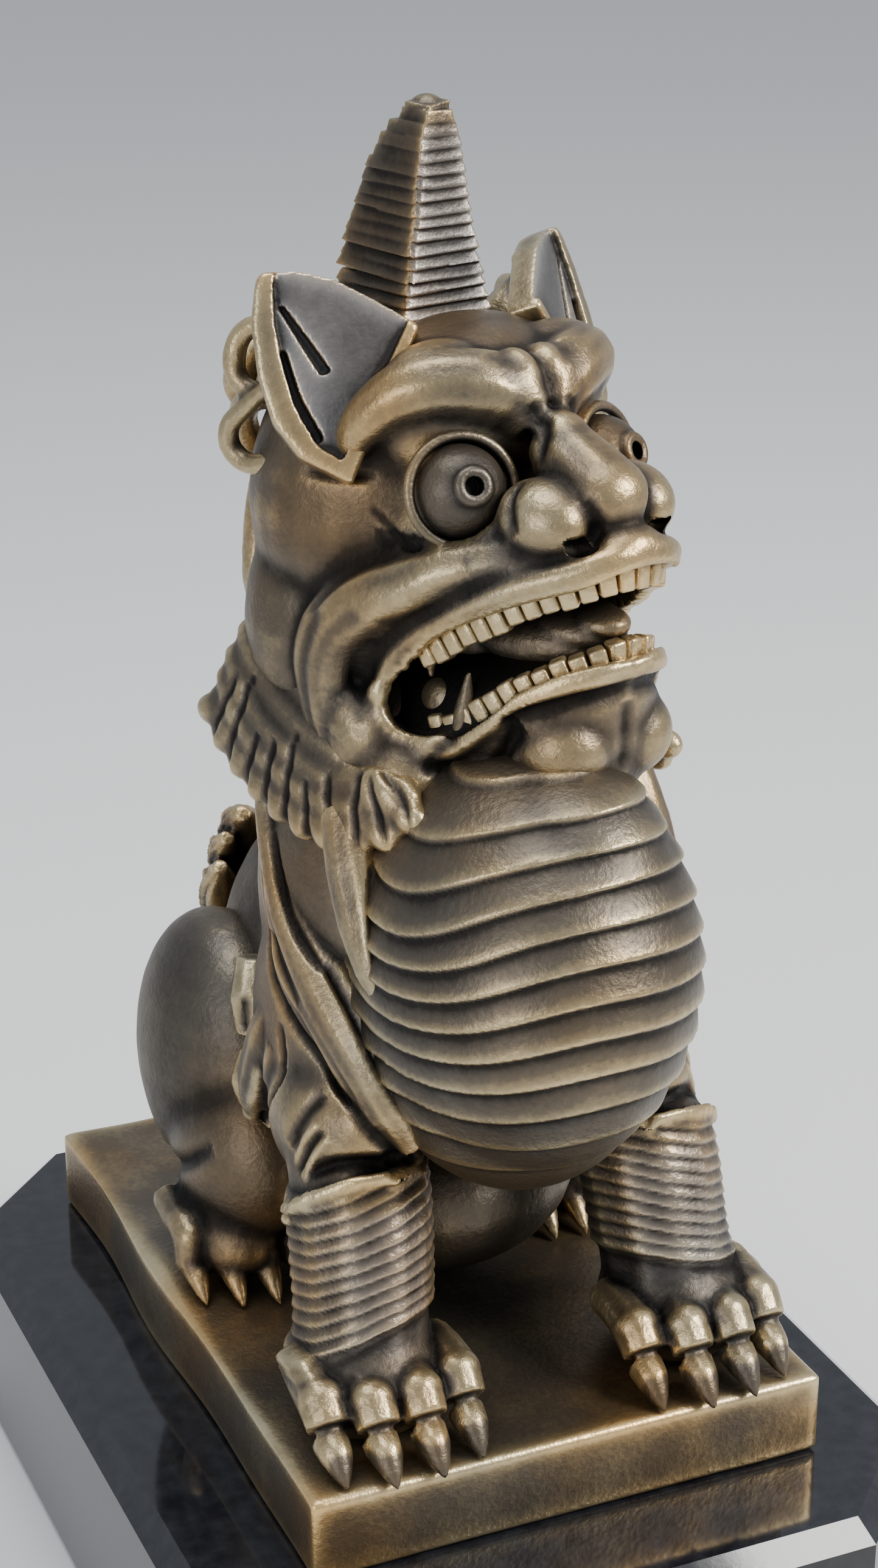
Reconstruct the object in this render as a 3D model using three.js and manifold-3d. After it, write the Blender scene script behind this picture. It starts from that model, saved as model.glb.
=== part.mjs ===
// A seated, one-horned guardian beast cast in bronze, screwed to a clipped-corner black marble base.
// The figure is a lost-wax casting in sections: hollow torso, breast and head, with legs, tail, horn,
// ears, eyes, teeth and hair sections fitted against them. It faces -Y. Millimetres, +Z up, with the
// origin at the centre of the underside.
import * as THREE from "three";
import { mergeVertices } from "three/addons/utils/BufferGeometryUtils.js";
import Module from "manifold-3d";

const wasm = await Module();
wasm.setup();

// ---- driving dimensions, in millimetres ----
const seamGap = 0.3; // left between neighbouring pieces
const figureHeight = 226; // plinth top to horn tip
const castingWall = 4;

const plinthWidth = 100;
const plinthLength = 145;
const plinthHeight = 16;
const plinthCorner = 9;
const plinthEdgeRound = 3;
const plinthWall = 4;

const marbleMarginX = 22; // how far the marble shows past the plinth
const marbleMarginY = 24.5;
const marbleHeight = 39.5;
const marbleClip = 24; // length of each clipped corner along an edge
const marbleChamfer = 4;
const feltThickness = 1.5;
const feltInset = 2;

const boltRadius = 3; // M6
const boltHeadAcrossFlats = 10;
const boltHeadHeight = 4;
const boltEngagement = 9; // thread length inside the plinth's boss
const washerRadius = 6.4;
const washerThickness = 1.6;
const boreClearance = 0.5;
const counterboreRadius = 9;
const counterboreDepth = 20;
const bossWall = 4;
const bossInset = 18; // bolt axis from the plinth's edge

// ---- worked out from them ----
const figureScale = figureHeight / 226; // the figure's shapes below are drawn for a 226 mm figure
const wall = castingWall / figureScale;
const gap = seamGap / figureScale;
const marbleWidth = plinthWidth + 2 * marbleMarginX;
const marbleLength = plinthLength + 2 * marbleMarginY;
const marbleTop = feltThickness + seamGap + marbleHeight;
const plinthBottom = marbleTop + seamGap;
const plinthTop = plinthBottom + plinthHeight;
const boltX = plinthWidth / 2 - bossInset;
const boltY = plinthLength / 2 - bossInset;

// ---- materials ----
const finish = (color, roughness, metalness) =>
  new THREE.MeshStandardMaterial({ color, roughness, metalness });
const bronze = finish(0x7a6545, 0.42, 1);
const darkBronze = finish(0x544632, 0.5, 1);
const marble = finish(0x1b1c20, 0.12, 0);
const steel = finish(0x9a9ca0, 0.35, 1);
const felt = finish(0x15241b, 0.95, 0);

// ---- solids from three.js geometry ----
function solid(geometry) {
  const g = geometry.index ? geometry.clone() : geometry;
  g.deleteAttribute("normal");
  g.deleteAttribute("uv");
  const merged = mergeVertices(g, 1e-4);
  return new wasm.Manifold(
    new wasm.Mesh({
      numProp: 3,
      vertProperties: merged.attributes.position.array,
      triVerts: new Uint32Array(merged.index.array),
    }),
  );
}

function geometryOf(body) {
  const m = body.getMesh();
  const positions = new Float32Array(m.numVert * 3);
  for (let i = 0; i < m.numVert; i++) {
    for (let k = 0; k < 3; k++) positions[i * 3 + k] = m.vertProperties[i * m.numProp + k];
  }
  const g = new THREE.BufferGeometry();
  g.setAttribute("position", new THREE.BufferAttribute(positions, 3));
  g.setIndex(new THREE.BufferAttribute(m.triVerts, 1));
  g.computeVertexNormals();
  return g;
}

const join = (...bodies) => bodies.reduce((a, b) => a.add(b));
const cut = (body, ...tools) => tools.reduce((a, b) => a.subtract(b), body);
const largest = (body) => body.decompose().sort((a, b) => b.volume() - a.volume())[0];

function ellipsoid({ at, radii, tilt = 0 }, grow = 0, around = 14, up = 8) {
  const g = new THREE.SphereGeometry(1, around, up).rotateX(Math.PI / 2);
  g.scale(...radii.map((r) => r + grow));
  return solid(g.rotateX(tilt).translate(...at));
}

const blobs = (list, grow = 0, around, up) => join(...list.map((b) => ellipsoid(b, grow, around, up)));

function boxBetween(low, high) {
  const size = high.map((h, i) => h - low[i]);
  const mid = high.map((h, i) => (h + low[i]) / 2);
  return solid(new THREE.BoxGeometry(...size).translate(...mid));
}

// A round bar or cone from point a to point b.
function barBetween(a, b, radiusA, radiusB, sides = 12) {
  const from = new THREE.Vector3(...a);
  const to = new THREE.Vector3(...b);
  const along = to.clone().sub(from);
  const g = new THREE.CylinderGeometry(radiusB, radiusA, along.length(), sides);
  const turn = new THREE.Quaternion().setFromUnitVectors(
    new THREE.Vector3(0, 1, 0),
    along.clone().normalize(),
  );
  g.applyQuaternion(turn);
  return solid(g.translate(...from.add(to).multiplyScalar(0.5).toArray()));
}

// A turned shape about the vertical axis: profile points are [radius, height].
function turned(profile, around, stretch = [1, 1]) {
  const points = profile.map(([r, z]) => new THREE.Vector2(r, z));
  const g = new THREE.LatheGeometry(points, around).rotateX(Math.PI / 2);
  g.scale(stretch[0], -stretch[1], 1);
  const index = g.index.array; // the mirroring scale turned the faces round
  for (let i = 0; i < index.length; i += 3) {
    [index[i + 1], index[i + 2]] = [index[i + 2], index[i + 1]];
  }
  const body = solid(g);
  if (body.volume() > 0) return body;
  for (let i = 0; i < index.length; i += 3) {
    [index[i + 1], index[i + 2]] = [index[i + 2], index[i + 1]];
  }
  return solid(g);
}

// Steps a smooth outline into lapped bands: each band swells by lip at its lower edge.
function lapped(radiusAt, low, high, bands, lip) {
  const points = [];
  const pitch = (high - low) / bands;
  for (let i = 0; i < bands; i++) {
    const z = low + i * pitch;
    points.push([radiusAt(z) + lip, z + 0.12 * pitch]);
    points.push([radiusAt(z + pitch), z + pitch]);
  }
  return points;
}

const group = new THREE.Group();
const figure = new THREE.Group();
figure.position.z = plinthTop;
figure.scale.setScalar(figureScale);
group.add(figure);

function place(parent, name, body, material) {
  const mesh = new THREE.Mesh(geometryOf(largest(body)), material);
  mesh.name = name;
  parent.add(mesh);
  return mesh;
}

// ---- base: marble, felt, plinth and its four fixings ----
function clippedOutline(width, length, clip) {
  const x = width / 2;
  const y = length / 2;
  const outline = new THREE.Shape();
  outline.moveTo(-x + clip, -y);
  outline.lineTo(x - clip, -y);
  outline.lineTo(x, -y + clip);
  outline.lineTo(x, y - clip);
  outline.lineTo(x - clip, y);
  outline.lineTo(-x + clip, y);
  outline.lineTo(-x, y - clip);
  outline.lineTo(-x, -y + clip);
  outline.closePath();
  return outline;
}

function roundedOutline(width, length, radius) {
  const x = width / 2 - radius;
  const y = length / 2 - radius;
  const outline = new THREE.Shape();
  outline.moveTo(-x, -y - radius);
  outline.lineTo(x, -y - radius);
  outline.absarc(x, -y, radius, -Math.PI / 2, 0);
  outline.lineTo(x + radius, y);
  outline.absarc(x, y, radius, 0, Math.PI / 2);
  outline.lineTo(-x, y + radius);
  outline.absarc(-x, y, radius, Math.PI / 2, Math.PI);
  outline.lineTo(-x - radius, -y);
  outline.absarc(-x, -y, radius, Math.PI, 1.5 * Math.PI);
  return outline;
}

const slab = (outline, low, high, segments = 4) =>
  solid(
    new THREE.ExtrudeGeometry(outline, {
      depth: high - low,
      bevelEnabled: false,
      curveSegments: segments,
    }).translate(0, 0, low),
  );

// A slab whose upper edge is chamfered (1 step) or rounded (more steps).
function edgedSlab(outline, low, high, edge, steps) {
  const drum = new THREE.ExtrudeGeometry(outline, {
    depth: high - low,
    bevelEnabled: true,
    bevelThickness: edge,
    bevelSize: edge,
    bevelOffset: -edge,
    bevelSegments: steps,
    curveSegments: 3,
  }).translate(0, 0, low - edge);
  const reach = plinthLength + marbleLength;
  return cut(solid(drum), boxBetween([-reach, -reach, low - 3 * edge], [reach, reach, low]));
}

const boltPlaces = [
  [-boltX, -boltY],
  [boltX, -boltY],
  [-boltX, boltY],
  [boltX, boltY],
];
const marbleBottom = feltThickness + seamGap;
const washerBottom = marbleBottom + counterboreDepth - seamGap - washerThickness;
const headBottom = washerBottom - seamGap - boltHeadHeight;
const boltTop = plinthBottom + boltEngagement;
const upright = ([x, y], low, high, radius, sides = 12) =>
  barBetween([x, y, low], [x, y, high], radius, radius, sides);

place(
  group,
  "base_felt",
  slab(
    clippedOutline(marbleWidth - 2 * feltInset, marbleLength - 2 * feltInset, marbleClip),
    0,
    feltThickness,
  ),
  felt,
);

let marbleBody = edgedSlab(
  clippedOutline(marbleWidth, marbleLength, marbleClip),
  marbleBottom,
  marbleTop,
  marbleChamfer,
  1,
);
for (const spot of boltPlaces) {
  marbleBody = cut(
    marbleBody,
    upright(spot, marbleBottom - 1, marbleTop + 1, boltRadius + boreClearance),
    upright(spot, marbleBottom - 1, marbleBottom + counterboreDepth, counterboreRadius),
  );
}
place(group, "marble_base", marbleBody, marble);

let plinthBody = edgedSlab(
  roundedOutline(plinthWidth, plinthLength, plinthCorner),
  plinthBottom,
  plinthTop,
  plinthEdgeRound,
  2,
);
const trayTop = plinthTop - plinthWall;
plinthBody = cut(
  plinthBody,
  slab(
    roundedOutline(plinthWidth - 2 * plinthWall, plinthLength - 2 * plinthWall, plinthCorner - plinthWall),
    plinthBottom - 1,
    trayTop,
  ),
);
for (const spot of boltPlaces) {
  plinthBody = join(plinthBody, upright(spot, plinthBottom, trayTop + 1, boltRadius + bossWall));
  plinthBody = cut(
    plinthBody,
    upright(spot, plinthBottom - 1, boltTop + seamGap, boltRadius + seamGap),
  );
}
place(group, "plinth", plinthBody, bronze);

boltPlaces.forEach((spot, i) => {
  const shank = upright(spot, headBottom + 1, boltTop, boltRadius);
  const head = upright(spot, headBottom, headBottom + boltHeadHeight, boltHeadAcrossFlats / Math.sqrt(3), 6);
  place(group, `fixing_bolt_${i + 1}`, join(shank, head), steel);
  const washer = cut(
    upright(spot, washerBottom, washerBottom + washerThickness, washerRadius),
    upright(spot, washerBottom - 1, washerBottom + washerThickness + 1, boltRadius + seamGap),
  );
  place(group, `fixing_washer_${i + 1}`, washer, steel);
});

// ---- the figure, drawn with its feet at height 0 ----
// The head and all that sits on it are drawn looking straight ahead, then turned to the beast's left.
const headTurn = 14.6; // degrees
const headTurnY = -15; // where the turning axis stands
const turnHead = (body) =>
  body.translate([0, -headTurnY, 0]).rotate([0, 0, headTurn]).translate([0, headTurnY, 0]);

const skull = [
  { at: [0, -8, 158], radii: [32.5, 28, 33] },
  { at: [0, -6, 137], radii: [33, 26, 26] },
  { at: [0, -26, 177], radii: [24.5, 16.5, 14] },
  { at: [0, -31, 149], radii: [26, 37, 17] },
  { at: [0, -54, 167], radii: [14, 10, 8.5] },
];
const jaw = [
  { at: [0, -34, 131], radii: [24.5, 31, 13] },
  { at: [0, -17, 129], radii: [29, 22, 13] },
];
const trunk = [
  { at: [0, -20, 84], radii: [36, 32, 48] },
  { at: [0, 22, 42], radii: [33, 38, 41] },
];
const breastRadii = [29.5, 37.5];
const breastCentreY = -46;
const breastLow = 43;
const breastHigh = 126;
const spigotFoot = [0, -6, 96];
const spigotHead = [0, -8, 146];
const spigotRadius = 15;
const standOn = boxBetween([-200, -200, -200], [200, 200, gap]);

function eachSide(make) {
  make("right", -1);
  make("left", 1);
}

// horn: a four-sided, ringed spike with an upright front and a rounded back, and a square tenon let
// into the skull
const hornBaseZ = 187;
const hornTipZ = 226;
const hornBaseY = -5.2;
const hornLean = -4; // the tip stands this far ahead of the base's middle
const hornBelly = 0.45; // how much deeper the horn is halfway up than its taper alone would make it
const hornHalfWidth = 10.2;
const hornHalfDepth = 10.6;
const hornTipHalf = 2.6;
const hornRings = 16;
const hornTenonDepth = 8;

function hornForm(grow, ringed) {
  const share = (z) => Math.min(Math.max((z - hornBaseZ) / (hornTipZ - hornBaseZ), 0), 1);
  const halfAt = (z) => hornHalfWidth + (hornTipHalf - hornHalfWidth) * share(z) ** 0.75;
  const corner = Math.SQRT2;
  const outline = [[0, hornBaseZ - 10 - grow]];
  if (ringed) {
    outline.push([(halfAt(hornBaseZ) + grow) * corner, hornBaseZ - 10]);
    outline.push(
      ...lapped((z) => halfAt(z) * corner, hornBaseZ, hornTipZ - 5, hornRings, 0.7 * corner),
    );
    outline.push([hornTipHalf * 0.8 * corner, hornTipZ - 1.5]);
  } else {
    outline.push([(halfAt(hornBaseZ) + 0.9 + grow) * corner, hornBaseZ - 10 - grow]);
    for (const s of [0, 0.25, 0.5, 0.75, 0.88]) {
      const z = hornBaseZ + s * (hornTipZ - hornBaseZ);
      outline.push([(halfAt(z - 2) + 0.9 + grow) * corner, z + 1]);
    }
  }
  outline.push([0, hornTipZ + grow]);
  const points = outline.map(([r, z]) => new THREE.Vector2(r, z));
  const g = new THREE.LatheGeometry(points, 4).rotateY(Math.PI / 4).rotateX(Math.PI / 2);
  g.scale(1, hornHalfDepth / hornHalfWidth, 1);
  const p = g.attributes.position;
  for (let i = 0; i < p.count; i++) {
    const s = share(p.getZ(i));
    p.setY(i, p.getY(i) * (1 + hornBelly * Math.sin(Math.PI * s)) + hornBaseY + hornLean * s);
  }
  return turnHead(solid(g));
}
const tenon = (grow) =>
  turnHead(
    boxBetween(
      [-5 - grow, hornBaseY - 5 - grow, hornBaseZ - 10 - hornTenonDepth - grow],
      [5 + grow, hornBaseY + 5 + grow, hornBaseZ],
    ),
  );

// ear: a cupped, pointed leaf with a thick root, its open side facing forward, outward and up
const earFront = [17.6, -19.4, 190.4]; // where its front edge meets the brow
const earLow = [31.2, -20.4, 168.5]; // where its rim meets the cheek
const earTip = [31.4, -5.6, 198.5];
const earThickness = 6;
const earRim = 3.2;
const earRoot = { at: [21.5, -8.5, 185.5], radii: [6.5, 6.5, 9] };

function earForm(side, grow, cupped) {
  const front = new THREE.Vector3(...earFront);
  const low = new THREE.Vector3(...earLow);
  const root = front.clone().add(low).multiplyScalar(0.5);
  const across = front.clone().sub(low).normalize();
  const outward = new THREE.Vector3(...earTip).sub(low).cross(across).normalize();
  const rise = across.clone().cross(outward);
  const tip = new THREE.Vector3(...earTip).sub(root);
  const tipAt = [tip.dot(across), tip.dot(rise)];
  const half = front.distanceTo(low) / 2;
  const outline = [
    [-half + 1, -5],
    [half + 1.5, -5],
    [half + 1.8, tipAt[1] * 0.4],
    [tipAt[0] + 1.5, tipAt[1]],
    [tipAt[0] - 1, tipAt[1]],
    [tipAt[0] - 12, tipAt[1] * 0.66],
    [-half + 1.5, tipAt[1] * 0.14],
  ];
  const middle = [0.5, tipAt[1] * 0.35];
  const leaf = (share, low_, high) => {
    const points = outline.map((p) => new THREE.Vector2(...p.map((v, i) => middle[i] + (v - middle[i]) * share)));
    const shape = new THREE.Shape(points);
    return solid(
      new THREE.ExtrudeGeometry(shape, { depth: high - low_, bevelEnabled: false }).translate(0, 0, low_),
    );
  };
  const basis = new THREE.Matrix4().makeBasis(across, rise, outward).setPosition(root);
  const lay = (body) => body.transform(basis.toArray());
  const reach = middle[1];
  let body = join(lay(leaf(1 + grow / reach, 1.4 - earThickness - grow, 1.4 + grow)), ellipsoid(earRoot, grow, 10, 6));
  if (cupped) body = cut(body, lay(leaf(1 - earRim / reach, 0.2, earThickness)));
  if (side < 0) body = body.mirror([1, 0, 0]);
  return turnHead(body);
}

// eye: a ball with a drilled pupil, set in a round socket
const eyeRadius = 8;
const pupilRadius = 1.4;
const eyePlace = [15.2, -37.6, 166.2];
const eyeLooks = [0.3, -0.88, 0.36];

function eyeForm(side, grow, drilled) {
  const centre = [side * eyePlace[0], eyePlace[1], eyePlace[2]];
  const ball = ellipsoid({ at: centre, radii: [eyeRadius, eyeRadius, eyeRadius] }, grow, 14, 9);
  if (!drilled) return turnHead(ball);
  const reach = (t) => centre.map((c, i) => c + t * eyeLooks[i] * (i === 0 ? side : 1));
  return turnHead(
    cut(ball, barBetween(reach(eyeRadius - 3), reach(eyeRadius + 3), pupilRadius, pupilRadius, 8)),
  );
}

// mouth: an arched opening that is high in front and droops to the corners
const mouthWidth = 24; // half the opening at its corners
const mouthFrontY = -69;
const mouthDepth = 42;
const mouthRise = 19; // how far the corners hang below the front
const mouthHeight = 7.6;
const mouthFrontZ = 149;
const muzzleCurve = 0.05; // the muzzle's front falls back by this times the square of the half width
const toothHeight = 4.2;
const toothThickness = 3;

function archBand(low, high, halfWidth, front, back, thicknessY) {
  const outline = new THREE.Shape();
  const drop = (x) => -mouthRise * (x / mouthWidth) ** 2;
  const steps = 12;
  for (let i = 0; i <= steps; i++) {
    const x = -halfWidth + (2 * halfWidth * i) / steps;
    if (i === 0) outline.moveTo(x, low + drop(x));
    else outline.lineTo(x, low + drop(x));
  }
  for (let i = steps; i >= 0; i--) {
    const x = -halfWidth + (2 * halfWidth * i) / steps;
    outline.lineTo(x, high + drop(x));
  }
  outline.closePath();
  const g = new THREE.ExtrudeGeometry(outline, { depth: back - front, bevelEnabled: false });
  g.rotateX(Math.PI / 2).translate(0, back, 0);
  if (!thicknessY) return solid(g);
  // a row of teeth follows the muzzle's round front
  const p = g.attributes.position;
  for (let i = 0; i < p.count; i++) {
    const inward = p.getY(i) > (front + back) / 2 ? thicknessY : 0;
    p.setY(i, mouthFrontY + 6 + muzzleCurve * p.getX(i) ** 2 + inward);
  }
  return solid(g);
}
const mouthHollow = () =>
  archBand(
    mouthFrontZ - mouthHeight,
    mouthFrontZ + mouthHeight,
    mouthWidth,
    mouthFrontY - 12,
    mouthFrontY + mouthDepth,
  );
const teethWidth = mouthWidth - 3;
const upperRow = () =>
  archBand(
    mouthFrontZ + mouthHeight - toothHeight,
    mouthFrontZ + mouthHeight - 2 * gap,
    teethWidth,
    0,
    1,
    toothThickness,
  );
const lowerRow = () =>
  archBand(
    mouthFrontZ - mouthHeight + 2 * gap,
    mouthFrontZ - mouthHeight + toothHeight,
    teethWidth,
    0,
    1,
    toothThickness,
  );
const tonguePlace = { at: [0, -43, 142], radii: [9, 14, 5.6] };

// breast: a lapped, banded barrel of oval section
const breastBands = 12;
function breastRadius(z) {
  const s = (z - breastLow) / (breastHigh - breastLow);
  return 0.42 + 0.62 * Math.sin(Math.PI * Math.min(s * 0.86 + 0.1, 1)) ** 0.8;
}
function breastForm(grow, banded, shrink = 0) {
  const share = 1 - shrink / breastRadii[0];
  const profile = [[0, breastLow - 6 - grow + shrink]];
  profile.push([breastRadius(breastLow) * 0.6 * share, breastLow - 4 - grow + shrink]);
  if (banded) {
    profile.push(...lapped(breastRadius, breastLow, breastHigh, breastBands, 0.035));
  } else {
    const swell = 0.055 + grow / breastRadii[0];
    for (let i = 0; i <= 8; i++) {
      const z = breastLow + ((breastHigh - breastLow) * i) / 8;
      profile.push([(breastRadius(z) + (shrink ? 0 : swell)) * share, z + (shrink ? -shrink * (i / 4 - 1) : 0)]);
    }
  }
  profile.push([0, breastHigh + grow - shrink]);
  return turned(profile, 18, breastRadii).translate([0, breastCentreY, 0]);
}

// forelegs: shoulder, ringed forearm and a paw with four toes and claws
const pawX = 31;
const shin = { foot: [30.5, -48, 10], top: [27.5, -40, 50], radius: 12 };
const toeSpread = [-13, -4.5, 4.2, 12.5];
const toeLength = 13;
const clawLength = 9;
const shinRings = 7;

function ringedShin(side, grow) {
  const from = new THREE.Vector3(side * shin.foot[0], shin.foot[1], shin.foot[2]);
  const to = new THREE.Vector3(side * shin.top[0], shin.top[1], shin.top[2]);
  const length = from.distanceTo(to);
  const girth = (z) => shin.radius + grow + 0.8 * Math.cos((z / length) * Math.PI);
  const profile = [[0, -6], ...lapped(girth, 0, length, shinRings, grow ? 0 : 0.7), [0, length + 4 + grow]];
  if (!grow) profile.splice(1, 0, [shin.radius * 0.8, -6]);
  else profile.splice(1, 0, [shin.radius + grow, -6]);
  const turn = new THREE.Quaternion().setFromUnitVectors(
    new THREE.Vector3(0, 0, 1),
    to.sub(from).normalize(),
  );
  const matrix = new THREE.Matrix4().compose(from, turn, new THREE.Vector3(1, 1, 1));
  return turned(profile, 12).transform(matrix.toArray());
}
function toeAndClaw(x, y, side, grow) {
  const tip = y - toeLength * 0.62;
  const toe = ellipsoid({ at: [x, y, 6.5], radii: [4.6, toeLength * 0.62, 6.5] }, grow, 8, 6);
  const claw = barBetween([x, tip + 2, 6], [x, tip - clawLength + 3, 1], 3.2 + grow, 0.8 + grow, 5);
  return join(toe, claw);
}
function forelegForm(side, grow) {
  const parts = [
    blobs(
      [
        { at: [side * 26, -16, 84], radii: [12, 22, 34] },
        { at: [side * 28, -24, 56], radii: [12, 19, 18] },
        { at: [side * 30, -12, 52], radii: [9.5, 12, 19] },
        { at: [side * pawX, -50, 8], radii: [15, 15, 12] },
      ],
      grow,
      12,
      8,
    ),
    ringedShin(side, grow),
  ];
  toeSpread.forEach((spread, i) => {
    const ahead = i === 0 || i === 3 ? 2.5 : 0;
    parts.push(toeAndClaw(side * (pawX + spread), -60 + ahead, side, grow));
  });
  return join(...parts);
}

// hind legs: folded haunch with a long-toed foot under it
function hindLegForm(side, grow) {
  const parts = [
    blobs(
      [
        { at: [side * 31, 24, 37], radii: [17, 27, 31] },
        { at: [side * 36, 9, 11], radii: [12, 17, 11] },
      ],
      grow,
      14,
      9,
    ),
  ];
  for (const spread of [-9, -3, 3, 9]) {
    parts.push(
      ellipsoid({ at: [side * (36 + spread), -3, 6.5], radii: [3.4, 9, 6.5] }, grow, 8, 6),
    );
  }
  return join(...parts);
}

// ---- cutting the pieces against each other, from the inserts outwards ----
const inserts = (grow) => [
  hornForm(grow, false),
  tenon(grow),
  earForm(-1, grow, false),
  earForm(1, grow, false),
  eyeForm(-1, grow, false),
  eyeForm(1, grow, false),
];
const spigot = (grow) =>
  barBetween(spigotFoot, [spigotHead[0], spigotHead[1], spigotHead[2] + grow], spigotRadius + grow, spigotRadius + grow, 16);

place(figure, "horn", join(hornForm(0, true), tenon(0)), darkBronze);
eachSide((word, side) => {
  place(figure, `ear_${word}`, cut(earForm(side, 0, true), hornForm(gap, false)), bronze);
  place(figure, `eye_${word}`, eyeForm(side, 0, true), bronze);
});

place(figure, "upper_teeth", turnHead(upperRow()), bronze);
place(figure, "lower_teeth", turnHead(lowerRow()), bronze);

const jawBack = -14; // the jaw is a piece of its own ahead of this
const jawKeep = (grow) =>
  boxBetween([-60, -120, 100], [60, jawBack + grow, mouthFrontZ - mouthHeight + grow]);
const jawForm = (grow) => blobs(jaw, grow);
const mouthCut = mouthHollow();
const jawSpace = archBand(mouthFrontZ - 60, mouthFrontZ, mouthWidth + 15, mouthFrontY - 30, jawBack - 14);
const jawBody = cut(
  turnHead(cut(jawForm(0).intersect(jawKeep(0)), mouthCut, lowerRow())),
  spigot(gap),
);
const headInside = cut(
  blobs(skull.slice(0, 1), -wall, 12, 8),
  boxBetween([-60, -200, 100], [60, mouthFrontY + mouthDepth + wall, 162]),
);
const headBody = cut(
  turnHead(cut(blobs(skull), jawSpace, jawForm(gap).intersect(jawKeep(gap)), mouthCut, headInside)),
  spigot(gap),
  ...inserts(gap),
);
place(figure, "lower_jaw", jawBody, bronze);
place(figure, "head", headBody, bronze);
place(
  figure,
  "tongue",
  cut(turnHead(ellipsoid(tonguePlace, 0, 12, 7)), jawBody.translate([0, 0, gap]), jawBody),
  bronze,
);

const headAndJaw = (grow) => turnHead(join(blobs(skull, grow), jawForm(grow)));
const breastBody = cut(
  breastForm(0, true),
  headAndJaw(gap),
  spigot(gap),
  breastForm(0, false, wall),
  boxBetween([-12, breastCentreY, 70], [12, breastCentreY + 60, 105]),
);
place(figure, "ribbed_breast", breastBody, bronze);

const breastOuter = breastForm(gap, false);
const forelegs = (grow) => join(forelegForm(-1, grow), forelegForm(1, grow));
const hindLegs = (grow) => join(hindLegForm(-1, grow), hindLegForm(1, grow));
eachSide((word, side) => {
  const reach = side * 100;
  const otherSide = boxBetween(
    [Math.min(side * -gap, -reach), -200, -50],
    [Math.max(side * -gap, -reach), 200, 300],
  );
  place(
    figure,
    `foreleg_${word}`,
    cut(forelegForm(side, 0), otherSide, spigot(gap), breastOuter, headAndJaw(gap), standOn),
    bronze,
  );
  place(
    figure,
    `hind_leg_${word}`,
    cut(hindLegForm(side, 0), otherSide, forelegs(gap), standOn),
    bronze,
  );
});

const trunkShell = cut(
  blobs(trunk),
  headAndJaw(gap),
  breastOuter,
  forelegs(gap),
  hindLegs(gap),
  standOn,
);
const trunkHollow = cut(blobs(trunk, -wall, 12, 8), boxBetween([-200, -200, -200], [200, 200, wall]));
const torsoBody = cut(
  join(cut(trunkShell, trunkHollow), cut(spigot(0), breastOuter)),
  barBetween([0, -6, 80], [0, -8, 150], spigotRadius - wall, spigotRadius - wall, 16),
);
place(figure, "torso", torsoBody, bronze);

// hair: two ruffs below the cheeks, curls behind the crown, and the tail's tuft
const torsoOuter = (grow) => join(blobs(trunk, grow), spigot(grow));
const ruffRing = cut(
  blobs([
    { at: [0, -13, 122], radii: [36, 33, 14] },
    { at: [0, -20, 118], radii: [34, 27, 9] },
  ]),
  boxBetween([-20, -120, 90], [20, -26, 150]),
  boxBetween([-80, 14, 90], [80, 60, 150]),
);
eachSide((word, side) => {
  const half = boxBetween(
    [Math.min(side * gap, side * 80), -120, 80],
    [Math.max(side * gap, side * 80), 80, 160],
  );
  place(
    figure,
    `ruff_${word}`,
    cut(turnHead(ruffRing.intersect(half)), headAndJaw(gap), torsoOuter(gap), breastOuter, forelegs(gap)),
    bronze,
  );
});

const curlPlaces = [
  { at: [-18, 5, 172], radii: [10, 13, 11] },
  { at: [18, 5, 172], radii: [10, 13, 11] },
  { at: [-27, 1, 173], radii: [5, 7, 8] },
  { at: [27, 1, 173], radii: [5, 7, 8] },
  { at: [0, 9, 179], radii: [12, 11, 9] },
  { at: [-13, 13, 156], radii: [11, 9, 12] },
  { at: [13, 13, 156], radii: [11, 9, 12] },
  { at: [0, 15, 162], radii: [12, 9, 14] },
  { at: [-12, 12, 139], radii: [10, 9, 13] },
  { at: [12, 12, 139], radii: [10, 9, 13] },
  { at: [0, 14, 140], radii: [11, 9, 15] },
];
place(
  figure,
  "crown_curls",
  cut(
    turnHead(blobs(curlPlaces, 0, 10, 6)),
    headAndJaw(gap),
    hornForm(gap, false),
    earForm(-1, gap, false),
    earForm(1, gap, false),
    torsoOuter(gap),
  ),
  bronze,
);

const tailForm = blobs(
  [
    { at: [0, 58, 18], radii: [9, 10, 18] },
    { at: [0, 61, 46], radii: [20, 9, 24] },
    { at: [0, 57, 62], radii: [21, 9, 14] },
  ],
  0,
  14,
  8,
);
place(figure, "tail", cut(tailForm, torsoOuter(gap), hindLegs(gap), standOn), bronze);

export default group;
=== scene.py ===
import math
import random

import bpy
import numpy as np
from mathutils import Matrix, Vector
from mathutils.bvhtree import BVHTree


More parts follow.
